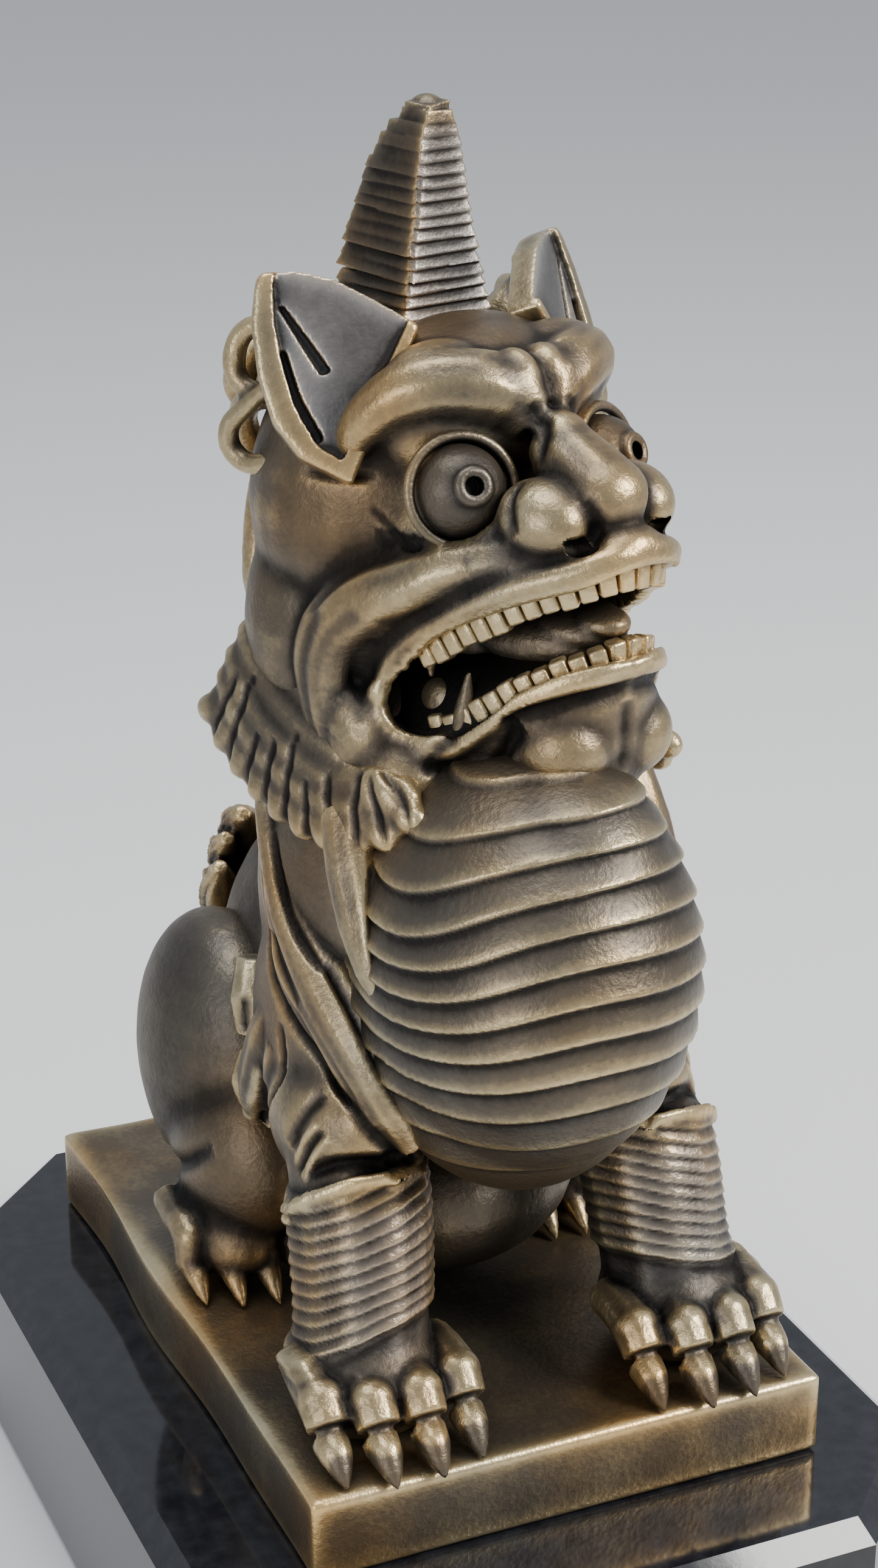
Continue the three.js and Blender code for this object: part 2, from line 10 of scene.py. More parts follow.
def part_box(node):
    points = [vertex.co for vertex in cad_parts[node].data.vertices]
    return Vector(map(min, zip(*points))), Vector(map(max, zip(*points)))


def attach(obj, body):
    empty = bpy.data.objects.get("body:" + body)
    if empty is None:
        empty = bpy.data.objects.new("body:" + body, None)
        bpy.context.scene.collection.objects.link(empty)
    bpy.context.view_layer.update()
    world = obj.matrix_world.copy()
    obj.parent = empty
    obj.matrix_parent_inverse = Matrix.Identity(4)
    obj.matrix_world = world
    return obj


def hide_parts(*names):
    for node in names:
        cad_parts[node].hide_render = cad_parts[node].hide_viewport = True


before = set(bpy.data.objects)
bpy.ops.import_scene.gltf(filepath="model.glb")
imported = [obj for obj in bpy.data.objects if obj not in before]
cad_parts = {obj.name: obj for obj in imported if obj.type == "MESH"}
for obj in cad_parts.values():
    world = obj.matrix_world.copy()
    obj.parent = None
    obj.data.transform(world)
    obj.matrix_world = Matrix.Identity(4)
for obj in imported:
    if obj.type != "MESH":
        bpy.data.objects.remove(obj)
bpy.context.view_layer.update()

# Shapes below are in millimetres, with the beast's feet at height 0, its face to -y and +x its left side.
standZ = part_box("plinth")[1][2]
grain = 1.0
random.seed(4)


def spot(at):
    return Vector((at[0] / 1000, at[1] / 1000, at[2] / 1000 + standZ))


def letGo():
    if bpy.context.object and bpy.context.object.mode != "OBJECT":
        bpy.ops.object.mode_set(mode="OBJECT")
    bpy.ops.object.select_all(action="DESELECT")


def pick(thing):
    letGo()
    thing.select_set(True)
    bpy.context.view_layer.objects.active = thing
    return thing


def ball(at, radii, turn=(0, 0, 0), sides=28):
    if not isinstance(radii, tuple):
        radii = (radii,) * 3
    bpy.ops.mesh.primitive_uv_sphere_add(
        segments=sides, ring_count=sides // 2, radius=0.001, location=spot(at),
        rotation=[math.radians(a) for a in turn], scale=radii)
    return bpy.context.object


def block(at, size, turn=(0, 0, 0)):
    bpy.ops.mesh.primitive_cube_add(
        size=0.001, location=spot(at), rotation=[math.radians(a) for a in turn], scale=size)
    return bpy.context.object


def strand(points):  # each point is (x, y, z, thickness)
    bpy.ops.curve.primitive_bezier_curve_add(location=(0, 0, 0))
    path = bpy.context.object.data
    path.dimensions = "3D"
    path.resolution_u = 6
    path.bevel_depth = 0.001
    path.bevel_resolution = 3
    path.use_fill_caps = True
    knots = path.splines[0].bezier_points
    knots.add(len(points) - 2)
    for knot, point in zip(knots, points):
        knot.co = spot(point[:3])
        knot.radius = point[3]
        knot.handle_left_type = knot.handle_right_type = "AUTO"
    bpy.ops.object.convert(target="MESH")
    return bpy.context.object


def solidFrom(corners, faces, name):
    mesh = bpy.data.meshes.new(name)
    mesh.from_pydata(corners, [], faces)
    made = bpy.data.objects.new(name, mesh)
    bpy.context.scene.collection.objects.link(made)
    pick(made)
    bpy.ops.object.mode_set(mode="EDIT")
    bpy.ops.mesh.select_all(action="SELECT")
    bpy.ops.mesh.normals_make_consistent(inside=False)
    bpy.ops.object.mode_set(mode="OBJECT")
    return made


def other(points):
    return [(-p[0],) + tuple(p[1:]) for p in points]


def bothSides(maker, items):
    made = []
    for item in items:
        made.append(maker(item))
        made.append(maker(other(item)))
    return made


def ballPair(at, radii, turn=(0, 0, 0)):
    return [ball(at, radii, turn), ball((-at[0], at[1], at[2]), radii, (turn[0], -turn[1], -turn[2]))]


def applyLast(thing):
    pick(thing)
    bpy.ops.object.modifier_apply(modifier=thing.modifiers[-1].name)


def weld(parts, name):
    letGo()
    for part in parts:
        part.select_set(True)
    bpy.context.view_layer.objects.active = parts[0]
    if len(parts) > 1:
        bpy.ops.object.join()
    lump = bpy.context.object
    bpy.ops.object.transform_apply(location=True, rotation=True, scale=True)
    lump.name = name
    lump.data.name = name
    return lump


def melt(lump, voxel, rounds):
    voxel *= grain
    skin = lump.modifiers.new("clay", "REMESH")
    skin.mode = "VOXEL"
    skin.voxel_size = voxel / 1000
    skin.use_smooth_shade = True
    applyLast(lump)
    if rounds:
        rub = lump.modifiers.new("rub", "SMOOTH")
        rub.factor = 0.5
        rub.iterations = max(1, round(rounds / grain ** 2))
        applyLast(lump)
    return lump


def carveOut(lump, cutters, voxel=0.8):
    cutter = melt(weld(cutters, "cutter"), voxel, 1)
    chisel = lump.modifiers.new("chisel", "BOOLEAN")
    chisel.operation = "DIFFERENCE"
    chisel.solver = "MANIFOLD"
    chisel.object = cutter
    applyLast(lump)
    bpy.data.objects.remove(cutter)
    return lump


def readSkin(lump):
    mesh = lump.data
    count = len(mesh.vertices)
    places = np.empty(count * 3, np.float32)
    mesh.vertices.foreach_get("co", places)
    places = places.reshape(-1, 3).astype(np.float64) * 1000
    places[:, 2] -= standZ * 1000
    facing = np.empty(count * 3, np.float32)
    mesh.vertex_normals.foreach_get("vector", facing)
    return places, facing.reshape(-1, 3).astype(np.float64)


def writeSkin(lump, places):
    out = places.copy()
    out[:, 2] += standZ * 1000
    lump.data.vertices.foreach_set("co", (out / 1000).astype(np.float32).ravel())
    lump.data.update()


def smoothPath(points, spacing):
    knots = [np.array(p, float) for p in points]
    knots = [2 * knots[0] - knots[1]] + knots + [2 * knots[-1] - knots[-2]]
    out = []
    for a, b, c, d in zip(knots, knots[1:], knots[2:], knots[3:]):
        steps = max(2, int(np.linalg.norm(c - b) / spacing) + 1)
        for i in range(steps):
            t = i / steps
            out.append(0.5 * (2 * b + (c - a) * t + (2 * a - 5 * b + 4 * c - d) * t * t
                              + (3 * b - a - 3 * c + d) * t ** 3))
    out.append(knots[-2])
    return np.array(out)


# each stroke is (kind, width, height, points): the mark a tool leaves along a line on the clay
def tool(lump, strokes, mirrored=True):
    for kind, width, height, points in strokes:
        places, facing = readSkin(lump)
        tree = BVHTree.FromObject(lump, bpy.context.evaluated_depsgraph_get())
        shift = np.zeros(len(places))
        sides = [points, other(points)] if mirrored else [points]
        for line in sides:
            path = smoothPath(line, max(width * 0.35, 0.4))
            snapped = []
            for p in path:
                found = tree.find_nearest(spot(p))[0]
                snapped.append((found.x * 1000, found.y * 1000, (found.z - standZ) * 1000))
            snapped = np.array(snapped)
            reach = width * 2.6
            near = np.all((places > snapped.min(0) - reach) & (places < snapped.max(0) + reach), axis=1)
            rows = np.nonzero(near)[0]
            if not len(rows):
                continue
            best = np.full(len(rows), 1e9)
            along = np.zeros(len(rows))
            for i, p in enumerate(snapped):
                d = ((places[rows] - p) ** 2).sum(1)
                closer = d < best
                best[closer] = d[closer]
                along[closer] = i / max(len(snapped) - 1, 1)
            away = np.sqrt(best) / width
            ends = np.clip(np.minimum(along, 1 - along) * 5, 0, 1) ** 0.6  # fades out at both ends
            if kind == "ridge":
                mark = np.exp(-away ** 2)
            elif kind == "groove":
                mark = -np.exp(-away ** 2)
            elif kind == "cut":
                mark = -np.clip(1 - away, 0, 1) ** 0.8
            else:  # a cut with raised lips
                mark = -np.exp(-(away * 1.6) ** 2) + 0.45 * np.exp(-((away - 1.3) * 1.8) ** 2)
            shift[rows] += height * mark * ends
        writeSkin(lump, places + facing * shift[:, None])


# how far each point stands proud of or sinks below its surroundings, kept for the patina, less any painted
# shade asked for, and where a painted sheen (painted reflection) goes
def relief(piece, painted_sheen=None, shadow=0):
    places, facing = readSkin(piece)
    mesh = piece.data
    count = len(places)
    pairs = np.empty(len(mesh.edges) * 2, np.int64)
    mesh.edges.foreach_get("vertices", pairs)
    a, b = pairs.reshape(-1, 2).T
    degree = np.maximum(np.bincount(a, minlength=count) + np.bincount(b, minlength=count), 1)
    step = float(np.median(np.linalg.norm(places[a] - places[b], axis=1)))

    def blur(field, reach):
        for _ in range(max(2, int(2 * (reach / step) ** 2))):
            total = np.stack([np.bincount(a, field[b, k], count) + np.bincount(b, field[a, k], count)
                              for k in range(3)], axis=1)
            field = 0.5 * field + 0.5 * total / degree[:, None]
        return field

    small = blur(places, 1.2)
    wide = blur(small, 3.0)
    proud = ((places - small) * facing).sum(1) / 0.22 + ((small - wide) * facing).sum(1) / 0.55
    value = np.clip(0.5 + 0.5 * np.tanh(proud * 0.6) - shadow, 0, 1)
    layer = mesh.attributes.new("relief", "FLOAT", "POINT")
    layer.data.foreach_set("value", value.astype(np.float32))
    layer = mesh.attributes.new("painted_sheen", "FLOAT", "POINT")
    layer.data.foreach_set("value", (np.zeros(count) if painted_sheen is None else painted_sheen).astype(np.float32))


def finishPiece(piece, material, slot, *nodes):
    pick(piece)
    bpy.ops.object.shade_smooth()
    piece.data.materials.clear()
    piece.data.materials.append(material)
    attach(piece, "root")
    if nodes:
        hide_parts(*nodes)
    print("made", piece.name, len(piece.data.polygons), flush=True)


def sockets(group, ins, outs):
    for name, kind, value in ins:
        socket = group.interface.new_socket(name, in_out="INPUT", socket_type="NodeSocket" + kind)
        socket.default_value = value
    for name, kind in outs:
        group.interface.new_socket(name, in_out="OUTPUT", socket_type="NodeSocket" + kind)


def node(tree, kind, values=None, **settings):
    made = tree.nodes.new("ShaderNode" + kind)
    for key, value in settings.items():
        setattr(made, key, value)
    for key, value in (values or {}).items():
        made.inputs[key].default_value = value
    return made


def ramp(tree, stops, source):
    made = node(tree, "ValToRGB")
    marks = made.color_ramp.elements
    while len(marks) < len(stops):
        marks.new(0.5)
    for mark, (place, color) in zip(marks, stops):
        mark.position = place
        mark.color = (*color, 1)
    tree.links.new(source, made.inputs["Fac"])
    return made.outputs["Color"]


def patinaAndSheenGroup():
    group = bpy.data.node_groups.new("bronzePatinaAndSheen", "ShaderNodeTree")
    sockets(group,
            [("Relief", "Float", 0.5), ("Darkness", "Float", 0.0), ("PaintedSheen", "Float", 0.0)],
            [("Color", "Color"), ("Roughness", "Float"), ("Height", "Float")])
    link = group.links.new
    start = group.nodes.new("NodeGroupInput")
    place = node(group, "TexCoord").outputs["Object"]
    cloud = node(group, "TexNoise", {"Scale": 70, "Detail": 6, "Roughness": 0.62})
    fleck = node(group, "TexNoise", {"Scale": 900, "Detail": 3, "Roughness": 0.6})
    smear = node(group, "TexNoise", {"Scale": 22, "Detail": 2, "Roughness": 0.5})
    for noise in (cloud, fleck, smear):
        link(place, noise.inputs["Vector"])
    spread = node(group, "Math", {1: 0.42}, operation="MULTIPLY")
    link(cloud.outputs["Fac"], spread.inputs[0])
    fine = node(group, "Math", {1: 0.17}, operation="MULTIPLY")
    link(fleck.outputs["Fac"], fine.inputs[0])
    total = node(group, "Math", operation="ADD")
    link(spread.outputs[0], total.inputs[0])
    link(fine.outputs[0], total.inputs[1])
    offset = node(group, "Math", {1: 0.325}, operation="SUBTRACT")
    link(total.outputs[0], offset.inputs[0])
    worn = node(group, "Math", operation="ADD")
    link(start.outputs["Relief"], worn.inputs[0])
    link(offset.outputs[0], worn.inputs[1])
    shade = node(group, "Math", operation="SUBTRACT")
    link(worn.outputs[0], shade.inputs[0])
    link(start.outputs["Darkness"], shade.inputs[1])
    color = ramp(group, [
        (0.0, (0.007, 0.006, 0.0055)), (0.26, (0.026, 0.022, 0.018)), (0.44, (0.076, 0.063, 0.049)),
        (0.62, (0.125, 0.101, 0.073)), (0.80, (0.30, 0.232, 0.133)), (1.0, (0.56, 0.45, 0.26))],
        shade.outputs[0])
    tint = ramp(group, [(0.36, (0.84, 0.91, 1.0)), (0.5, (1.0, 0.98, 0.93)), (0.64, (1.22, 0.95, 0.62))],
                smear.outputs["Fac"])
    mix = node(group, "Mix", {"Factor": 0.8}, data_type="RGBA", blend_type="MULTIPLY")
    link(color, mix.inputs["A"])
    link(tint, mix.inputs["B"])
    # painted sheen: a pale bluish grey mixed over the patina where the sheen input asks, a reflection of light
    # painted into the colour
    paintedSheen = ramp(group, [(0.25, (0.03, 0.031, 0.034)), (0.5, (0.15, 0.157, 0.17)), (0.8, (0.4, 0.415, 0.44))],
                  shade.outputs[0])
    blend = node(group, "Mix", data_type="RGBA")
    sheenShare = node(group, "Math", {1: 0.75}, operation="MULTIPLY")
    link(start.outputs["PaintedSheen"], sheenShare.inputs[0])
    link(sheenShare.outputs[0], blend.inputs["Factor"])
    link(mix.outputs["Result"], blend.inputs["A"])
    link(paintedSheen, blend.inputs["B"])
    end = group.nodes.new("NodeGroupOutput")
    link(blend.outputs["Result"], end.inputs["Color"])
    rough = node(group, "MapRange", {"From Min": 0.2, "From Max": 0.9, "To Min": 0.56, "To Max": 0.3})
    link(shade.outputs[0], rough.inputs["Value"])
    link(rough.outputs["Result"], end.inputs["Roughness"])
    pits = node(group, "Math", operation="ADD")
    link(fleck.outputs["Fac"], pits.inputs[0])
    link(cloud.outputs["Fac"], pits.inputs[1])
    link(pits.outputs[0], end.inputs["Height"])
    return group


patinaAndSheen = patinaAndSheenGroup()
bronzeMetal = 0.85


def bronzeFinish(name, darkness, bump=0.42):
    material = bpy.data.materials.new(name)
    material.use_nodes = True
    tree = material.node_tree
    link = tree.links.new
    shader = tree.nodes["Principled BSDF"]
    shader.inputs["Metallic"].default_value = bronzeMetal
    coat = node(tree, "Group")
    coat.node_tree = patinaAndSheen
    coat.inputs["Darkness"].default_value = darkness
    height = node(tree, "Attribute", attribute_name="relief")
    link(height.outputs["Fac"], coat.inputs["Relief"])
    # painted sheen: each piece's mask of where a pale reflection is painted into the colour
    paintedSheen = node(tree, "Attribute", attribute_name="painted_sheen")
    link(paintedSheen.outputs["Fac"], coat.inputs["PaintedSheen"])
    link(coat.outputs["Color"], shader.inputs["Base Color"])
    link(coat.outputs["Roughness"], shader.inputs["Roughness"])
    skin = node(tree, "Bump", {"Strength": bump, "Distance": 0.0004})
    link(coat.outputs["Height"], skin.inputs["Height"])
    link(skin.outputs["Normal"], shader.inputs["Normal"])
    return material


bronze = bronzeFinish("bronze", 0.0)
# painted shade: a darker copy of the same bronze for the tongue, torso and hind legs, which sit in shade
bronzeShaded = bronzeFinish("bronzeShaded", 0.12)
bronzeHorn = bronzeFinish("bronzeHorn", 0.15, bump=0.5)
# painted shade: a darker copy of the same bronze for the eyes, sunk in their sockets
bronzeEyeShaded = bronzeFinish("bronzeEyeShaded", 0.28)
# painted light: a lighter copy of the same bronze for the plinth, brighter than the lamps make it
bronzePlinthLit = bronzeFinish("bronzePlinthLit", -0.16, bump=0.3)
print("bronze finishes ready", flush=True)


# the head is shaped looking straight ahead and then turned to the beast's left
headTurn = {"degrees": 14.6, "pivot": (0, -15)}


def turnHead(piece):
    places, facing = readSkin(piece)
    a = math.radians(headTurn["degrees"])
    x = places[:, 0] - headTurn["pivot"][0]
    y = places[:, 1] - headTurn["pivot"][1]
    places[:, 0] = headTurn["pivot"][0] + x * math.cos(a) - y * math.sin(a)
    places[:, 1] = headTurn["pivot"][1] + x * math.sin(a) + y * math.cos(a)
    writeSkin(piece, places)


headForm = {
    "grain": {"mass": 1.1, "face": 0.62, "socket": 0.5, "skin": 0.65, "nostril": 0.4},
    "mass": [
        ((0, -8, 158), (32, 27, 32)), ((0, -5, 136), (32.5, 24, 32)), ((0, -25, 176), (23.5, 15.5, 14)),
        ((0, -20, 143), (29, 27, 27)), ((0, -19, 180), (22, 14, 10.5)),
    ],
    "muzzlePlan": [(0, -65.2), (6, -63.8), (10, -61.4), (14, -57.4), (17, -52.6), (19.5, -46.2), (21.5, -39.6),
                   (24, -31), (27.4, -19), (24, -4)],
    "muzzleLevels": [(108, 15), (111, 8.5), (114, 5), (118, 3), (123, 1.9), (131, 1.3), (140, 1.4), (150, 1.4),
                     (156, 1.5), (160, 2.6), (163, 5.5), (166, 10)],  # height and how far it draws in
    "muzzleMiddle": -25,
    "smallPairs": [
        ((-12.5, -29, 182.5), (10.5, 8, 7)), ((-3.2, -37, 181), (4.6, 5.8, 7.4)),  # forehead
        ((-26, -24, 122), (5.4, 8, 9)), ((-22, -31, 115.5), (8.5, 9.5, 8.5)),  # jaw corner
        ((-25.2, -28.2, 131), (2.6, 2.6, 2.6)), ((-13, -38.5, 157), (10, 6, 4)),
        ((-9, -52, 163.6), (7.2, 9, 6.8)),  # nostril wing
        ((-6.6, -55, 124.6), (8.4, 8.6, 8)), ((-16.4, -46, 117.5), (4.8, 4.8, 4.6)),  # chin, knob beside it
    ],
    "strands": [
        [(-25, -19.5, 170, 3), (-23, -24.5, 177.5, 4.6), (-17.5, -30, 182.2, 6), (-11, -34.4, 182.6, 6.4),
         (-5.4, -37.4, 181, 6.4), (-2, -40.4, 177, 4.6)],  # brow
        [(-26, -19, 118, 5), (-28, -17.5, 128, 5.4), (-28, -18.5, 138, 6), (-25.6, -24, 145.5, 6.6),
         (-21, -34, 151, 6.8), (-15.4, -44.5, 155, 6), (-8, -54, 158, 4.6), (0, -59, 159, 4)],  # cheek pad
        [(-8, -57.4, 158.4, 3.0), (-13, -52.6, 156.2, 3.4), (-17.4, -45, 152.8, 3.6), (-21, -36.6, 148.4, 3.8),
         (-23.6, -28.5, 142, 4)],  # between pad and lip
        [(0, -65.0, 159.4, 2.6), (-5, -64.2, 159, 2.5), (-10, -61.2, 157, 2.3), (-14.5, -55.6, 154.6, 2.2),
         (-18.5, -48.2, 151.2, 2.2), (-21.3, -39.8, 146.2, 2.2), (-23.6, -32, 139.6, 2.2),
         (-24.8, -28, 131.5, 2.2)],  # upper lip
        [(0, -63.4, 139.6, 2.3), (-5, -62.6, 139, 2.2), (-10.5, -58.4, 136.6, 2.1), (-15, -53, 133.6, 2.1),
         (-18, -47.6, 128.6, 2.1), (-20, -42.6, 124.2, 2.1), (-22.4, -36.6, 121.8, 2.1), (-24.6, -31, 123, 2.2),
         (-25.4, -28, 128, 2.3)],  # lower lip
    ],
    "nose": [(0, -43, 174, 5), (0, -48, 171, 6.6), (0, -54, 167.6, 7.6)],
    "middle": [
        ((0, -56, 166.8), (7.8, 7.6, 7)), ((0, -45.4, 175), (5, 4.6, 4)), ((0, -62.5, 160.6), (6, 4.5, 3)),
        ((0, -56.5, 126.5), (8, 7, 8)),
    ],
    "mouthRim": [
        (0, 156.6), (6, 156), (10, 154.4), (14, 151.6), (18, 147.4), (20.6, 143.4), (22.6, 139), (23.8, 134),
        (24.2, 129.6), (23.6, 126), (22, 124.6), (20.4, 125.4), (18.8, 128.4), (16.8, 132.2), (14.2, 135.4),
        (10.8, 138.2), (6, 140.4), (0, 141.3),
    ],
    "mouthDepth": (-80, -22),
    "eyePlace": (-15.2, -37.6, 166.2),
    "eyeSocket": 8.8,
    "nostrils": [((-8.2, -60.2, 160.6), (2.6, 3.2, 2.0), (0, 20, 30)), ((-10.4, -58.4, 162), (1.7, 2.4, 1.3))],
    "mouthShadow": 0.55,
    "strokes": [
        ("groove", 1.8, 0.8, [(-17, -53, 156.5), (-20.5, -45, 151.5), (-23.2, -37, 145.5), (-26, -30, 139),
                              (-27, -26.5, 131), (-26.5, -27, 123)]),
        ("groove", 2.6, 1.1, [(-21, -40, 160), (-24, -34, 157.5), (-26.5, -27, 153), (-29, -21, 145),
                              (-30.5, -18, 136), (-31, -17, 125), (-30, -20, 115)]),
        ("ridge", 2.6, 0.9, [(-20, -46, 157), (-24, -36, 151), (-27, -28, 145), (-29, -23, 136),
                             (-29, -22, 123)]),
        ("ridge", 0.9, 0.9, [(0, -69, 157.6), (-6, -67, 156.8), (-11, -62, 154.8), (-16, -55, 151.6),
                             (-20, -46, 146.5), (-23, -38, 140.5), (-25, -31, 133)]),
        ("ridge", 1.0, 1.3, [(-25.5, -29, 133), (-25.6, -29.5, 126), (-23.4, -34, 122.6), (-20.6, -41, 123.6),
                             (-18, -48, 128.6), (-14.6, -54, 134.4), (-10, -59.5, 138), (-5, -63.5, 140.2),
                             (0, -65, 140.8)]),
        ("groove", 2.6, 0.6, [(-7.4, -37, 190), (-6.8, -42, 186), (-6.4, -44, 180), (-6, -45, 174.5)]),
        ("groove", 1.2, 0.9, [(-5, -45, 181), (-5, -46.5, 176), (-7, -47, 171)]),
        ("cut", 1.1, 0.6, [(-24.5, -27, 168), (-28, -20, 167), (-30.5, -14, 167.5)]),
        ("cut", 1.0, 0.7, [(-25, -26, 162.5), (-22, -33, 156.5), (-17, -39.5, 154), (-12, -44.5, 155),
                           (-8, -48, 158.5)]),
        ("groove", 1.5, 0.7, [(-3.2, -52, 160.4), (-4.2, -57, 162), (-5.6, -61, 165), (-6.6, -59, 168)]),
        ("groove", 1.5, 1.2, [(-16.6, -53, 162), (-15, -49, 168.6), (-10.6, -46.6, 172)]),
        ("groove", 1.6, 1.6, [(-13.8, -53, 130), (-14.2, -50, 124.5), (-13.4, -47, 119)]),
        ("groove", 1.6, 0.4, [(0, -64, 134), (-0.4, -64, 128), (0, -60, 121)]),
        ("groove", 1.6, 1.2, [(-23, -38, 117.5), (-21.5, -42, 124.5), (-16, -50, 131), (-9, -60, 134.6),
                              (0, -64.6, 136)]),
    ],
}


def loft(plan, levels, middle):
    rows = []
    for z, inset in levels:
        share = 1 - inset / 35
        half = [(x * share, middle + (y - middle) * share) for x, y in plan]
        rows.append([spot((x, y, z)) for x, y in half] + [spot((-x, y, z)) for x, y in half[:0:-1]])
    count = len(rows[0])
    faces = [tuple(range(count)), tuple((len(rows) - 1) * count + i for i in range(count))]
    for r in range(len(rows) - 1):
        low, high = r * count, (r + 1) * count
        faces += [(low + i, low + (i + 1) % count, high + (i + 1) % count, high + i) for i in range(count)]
    return solidFrom([v for row in rows for v in row], faces, "loft")


muzzle = loft(headForm["muzzlePlan"], headForm["muzzleLevels"], headForm["muzzleMiddle"])
lump = weld([ball(*b) for b in headForm["mass"]] + [muzzle], "head")
melt(lump, headForm["grain"]["mass"], 9)
parts = [lump] + [b for item in headForm["smallPairs"] for b in ballPair(*item)]
parts += bothSides(strand, headForm["strands"])
parts += [strand(headForm["nose"])] + [ball(*b) for b in headForm["middle"]]
lump = melt(weld(parts, "head"), headForm["grain"]["face"], 3)

outline = headForm["mouthRim"] + [(-x, z) for x, z in headForm["mouthRim"][-2:0:-1]]
count = len(outline)
corners = [spot((x, y, z)) for y in headForm["mouthDepth"] for x, z in outline]
faces = [tuple(range(count)), tuple(range(count, 2 * count))]
faces += [(i, (i + 1) % count, (i + 1) % count + count, i + count) for i in range(count)]
carveOut(lump, [solidFrom(corners, faces, "mouthTool")])
carveOut(lump, ballPair(headForm["eyePlace"], headForm["eyeSocket"]), headForm["grain"]["socket"])
lump = melt(lump, headForm["grain"]["skin"], 2)
tool(lump, headForm["strokes"])
carveOut(lump, [b for item in headForm["nostrils"] for b in ballPair(*item)], headForm["grain"]["nostril"])
places, facing = readSkin(lump)
front = np.interp(np.abs(places[:, 0]), *zip(*headForm["muzzlePlan"][:-1]))
inMouth = np.clip((places[:, 1] - front - 3.5) / 4, 0, 1)
inMouth *= (np.abs(places[:, 0]) < 24) * (np.abs(places[:, 2] - 141) < 18) * (places[:, 1] < -20)
relief(lump, shadow=inMouth * headForm["mouthShadow"])
turnHead(lump)
finishPiece(lump, bronze, "bronze", "head", "lower_jaw")

eyeForm = {
    "globe": 7.9, "lid": 9.1, "lidWire": 0.95, "lidAhead": 1.6, "ring": 2.4, "ringWire": 1.05, "pupil": 1.6,
    "grain": 0.33, "look": (0.30, -0.88, 0.36), "lidLook": (0.34, -0.9, 0.27),
}
for side, word in ((-1, "right"), (1, "left")):
    x, y, z = headForm["eyePlace"]
    centre = Vector((-side * x, y, z))
    look, lid = (Vector((side * x, y, z)).normalized() for x, y, z in (eyeForm["look"], eyeForm["lidLook"]))
    globe = ball(centre, eyeForm["globe"], sides=48)
    turn = look.to_track_quat("Z", "Y").to_euler()
    bpy.ops.mesh.primitive_torus_add(
        location=spot(centre + look * (eyeForm["globe"] - 0.5)), rotation=turn, major_segments=48,
        minor_segments=16, major_radius=eyeForm["ring"] / 1000, minor_radius=eyeForm["ringWire"] / 1000)
    piece = melt(weld([globe, bpy.context.object], "eye_" + word), eyeForm["grain"], 2)
    bpy.ops.mesh.primitive_cylinder_add(vertices=32, radius=eyeForm["pupil"] / 1000, depth=0.006, rotation=turn,
                                        location=spot(centre + look * (eyeForm["globe"] + 1)))
    carveOut(piece, [bpy.context.object], 0.25)
    bpy.ops.mesh.primitive_torus_add(
        location=spot(centre + lid * eyeForm["lidAhead"]), rotation=lid.to_track_quat("Z", "Y").to_euler(),
        major_segments=72, minor_segments=14, major_radius=eyeForm["lid"] / 1000,
        minor_radius=eyeForm["lidWire"] / 1000)
    piece = weld([piece, bpy.context.object], "eye_" + word)
    relief(piece)
    turnHead(piece)
    finishPiece(piece, bronzeEyeShaded, "bronze", "eye_" + word)


toothForm = {
    "pitch": 3.25, "wide": 2.95, "deep": 3.0, "round": 0.55, "upper": 4.6, "lower": 4.4, "uneven": (0.9, 1.06),
    "upperRim": [(0, -63.6, 157.2), (5, -62.6, 156.8), (9.4, -59.2, 155.2), (13.2, -53.8, 152.4),
                 (16.4, -47.8, 148.8), (18.8, -41.4, 144.6), (20.4, -35.4, 140.4)],
    "lowerRim": [(0, -62, 139.8), (5, -61, 139), (9.6, -56.8, 136.4), (13.4, -51.6, 133), (16, -46, 128.8),
                 (17.8, -40.6, 125), (19, -36.4, 123.4)],
}


def toothRow(name, rim, height, down):
    path = smoothPath(rim, 0.3)
    lengths = np.concatenate([[0], np.cumsum(np.linalg.norm(np.diff(path, axis=0), axis=1))])
    row = []
    for i in range(int((lengths[-1] / toothForm["pitch"]) + 0.5)):
        s = (i + 0.5) * toothForm["pitch"]
        at = np.array([np.interp(s, lengths, path[:, k]) for k in range(3)])
        on = np.array([np.interp(s + 0.4, lengths, path[:, k]) for k in range(3)])
        along = on - at
        swing = math.degrees(math.atan2(along[1], along[0]))
        slope = math.degrees(math.atan2(along[2], math.hypot(along[0], along[1])))
        for side in (1, -1):
            tall = height * random.uniform(*toothForm["uneven"])
            row.append(block((at[0] * side, at[1], at[2] + down * tall / 2),
                             (toothForm["wide"], toothForm["deep"], tall), (0, -slope * side, swing * side)))
    piece = weld(row, name)
    soften = piece.modifiers.new("soften", "BEVEL")
    soften.width = toothForm["round"] / 1000
    soften.segments = 2
    applyLast(piece)
    relief(piece)
    turnHead(piece)
    finishPiece(piece, bronze, "bronze", name)


toothRow("upper_teeth", toothForm["upperRim"], toothForm["upper"], -1)
toothRow("lower_teeth", toothForm["lowerRim"], toothForm["lower"], 1)

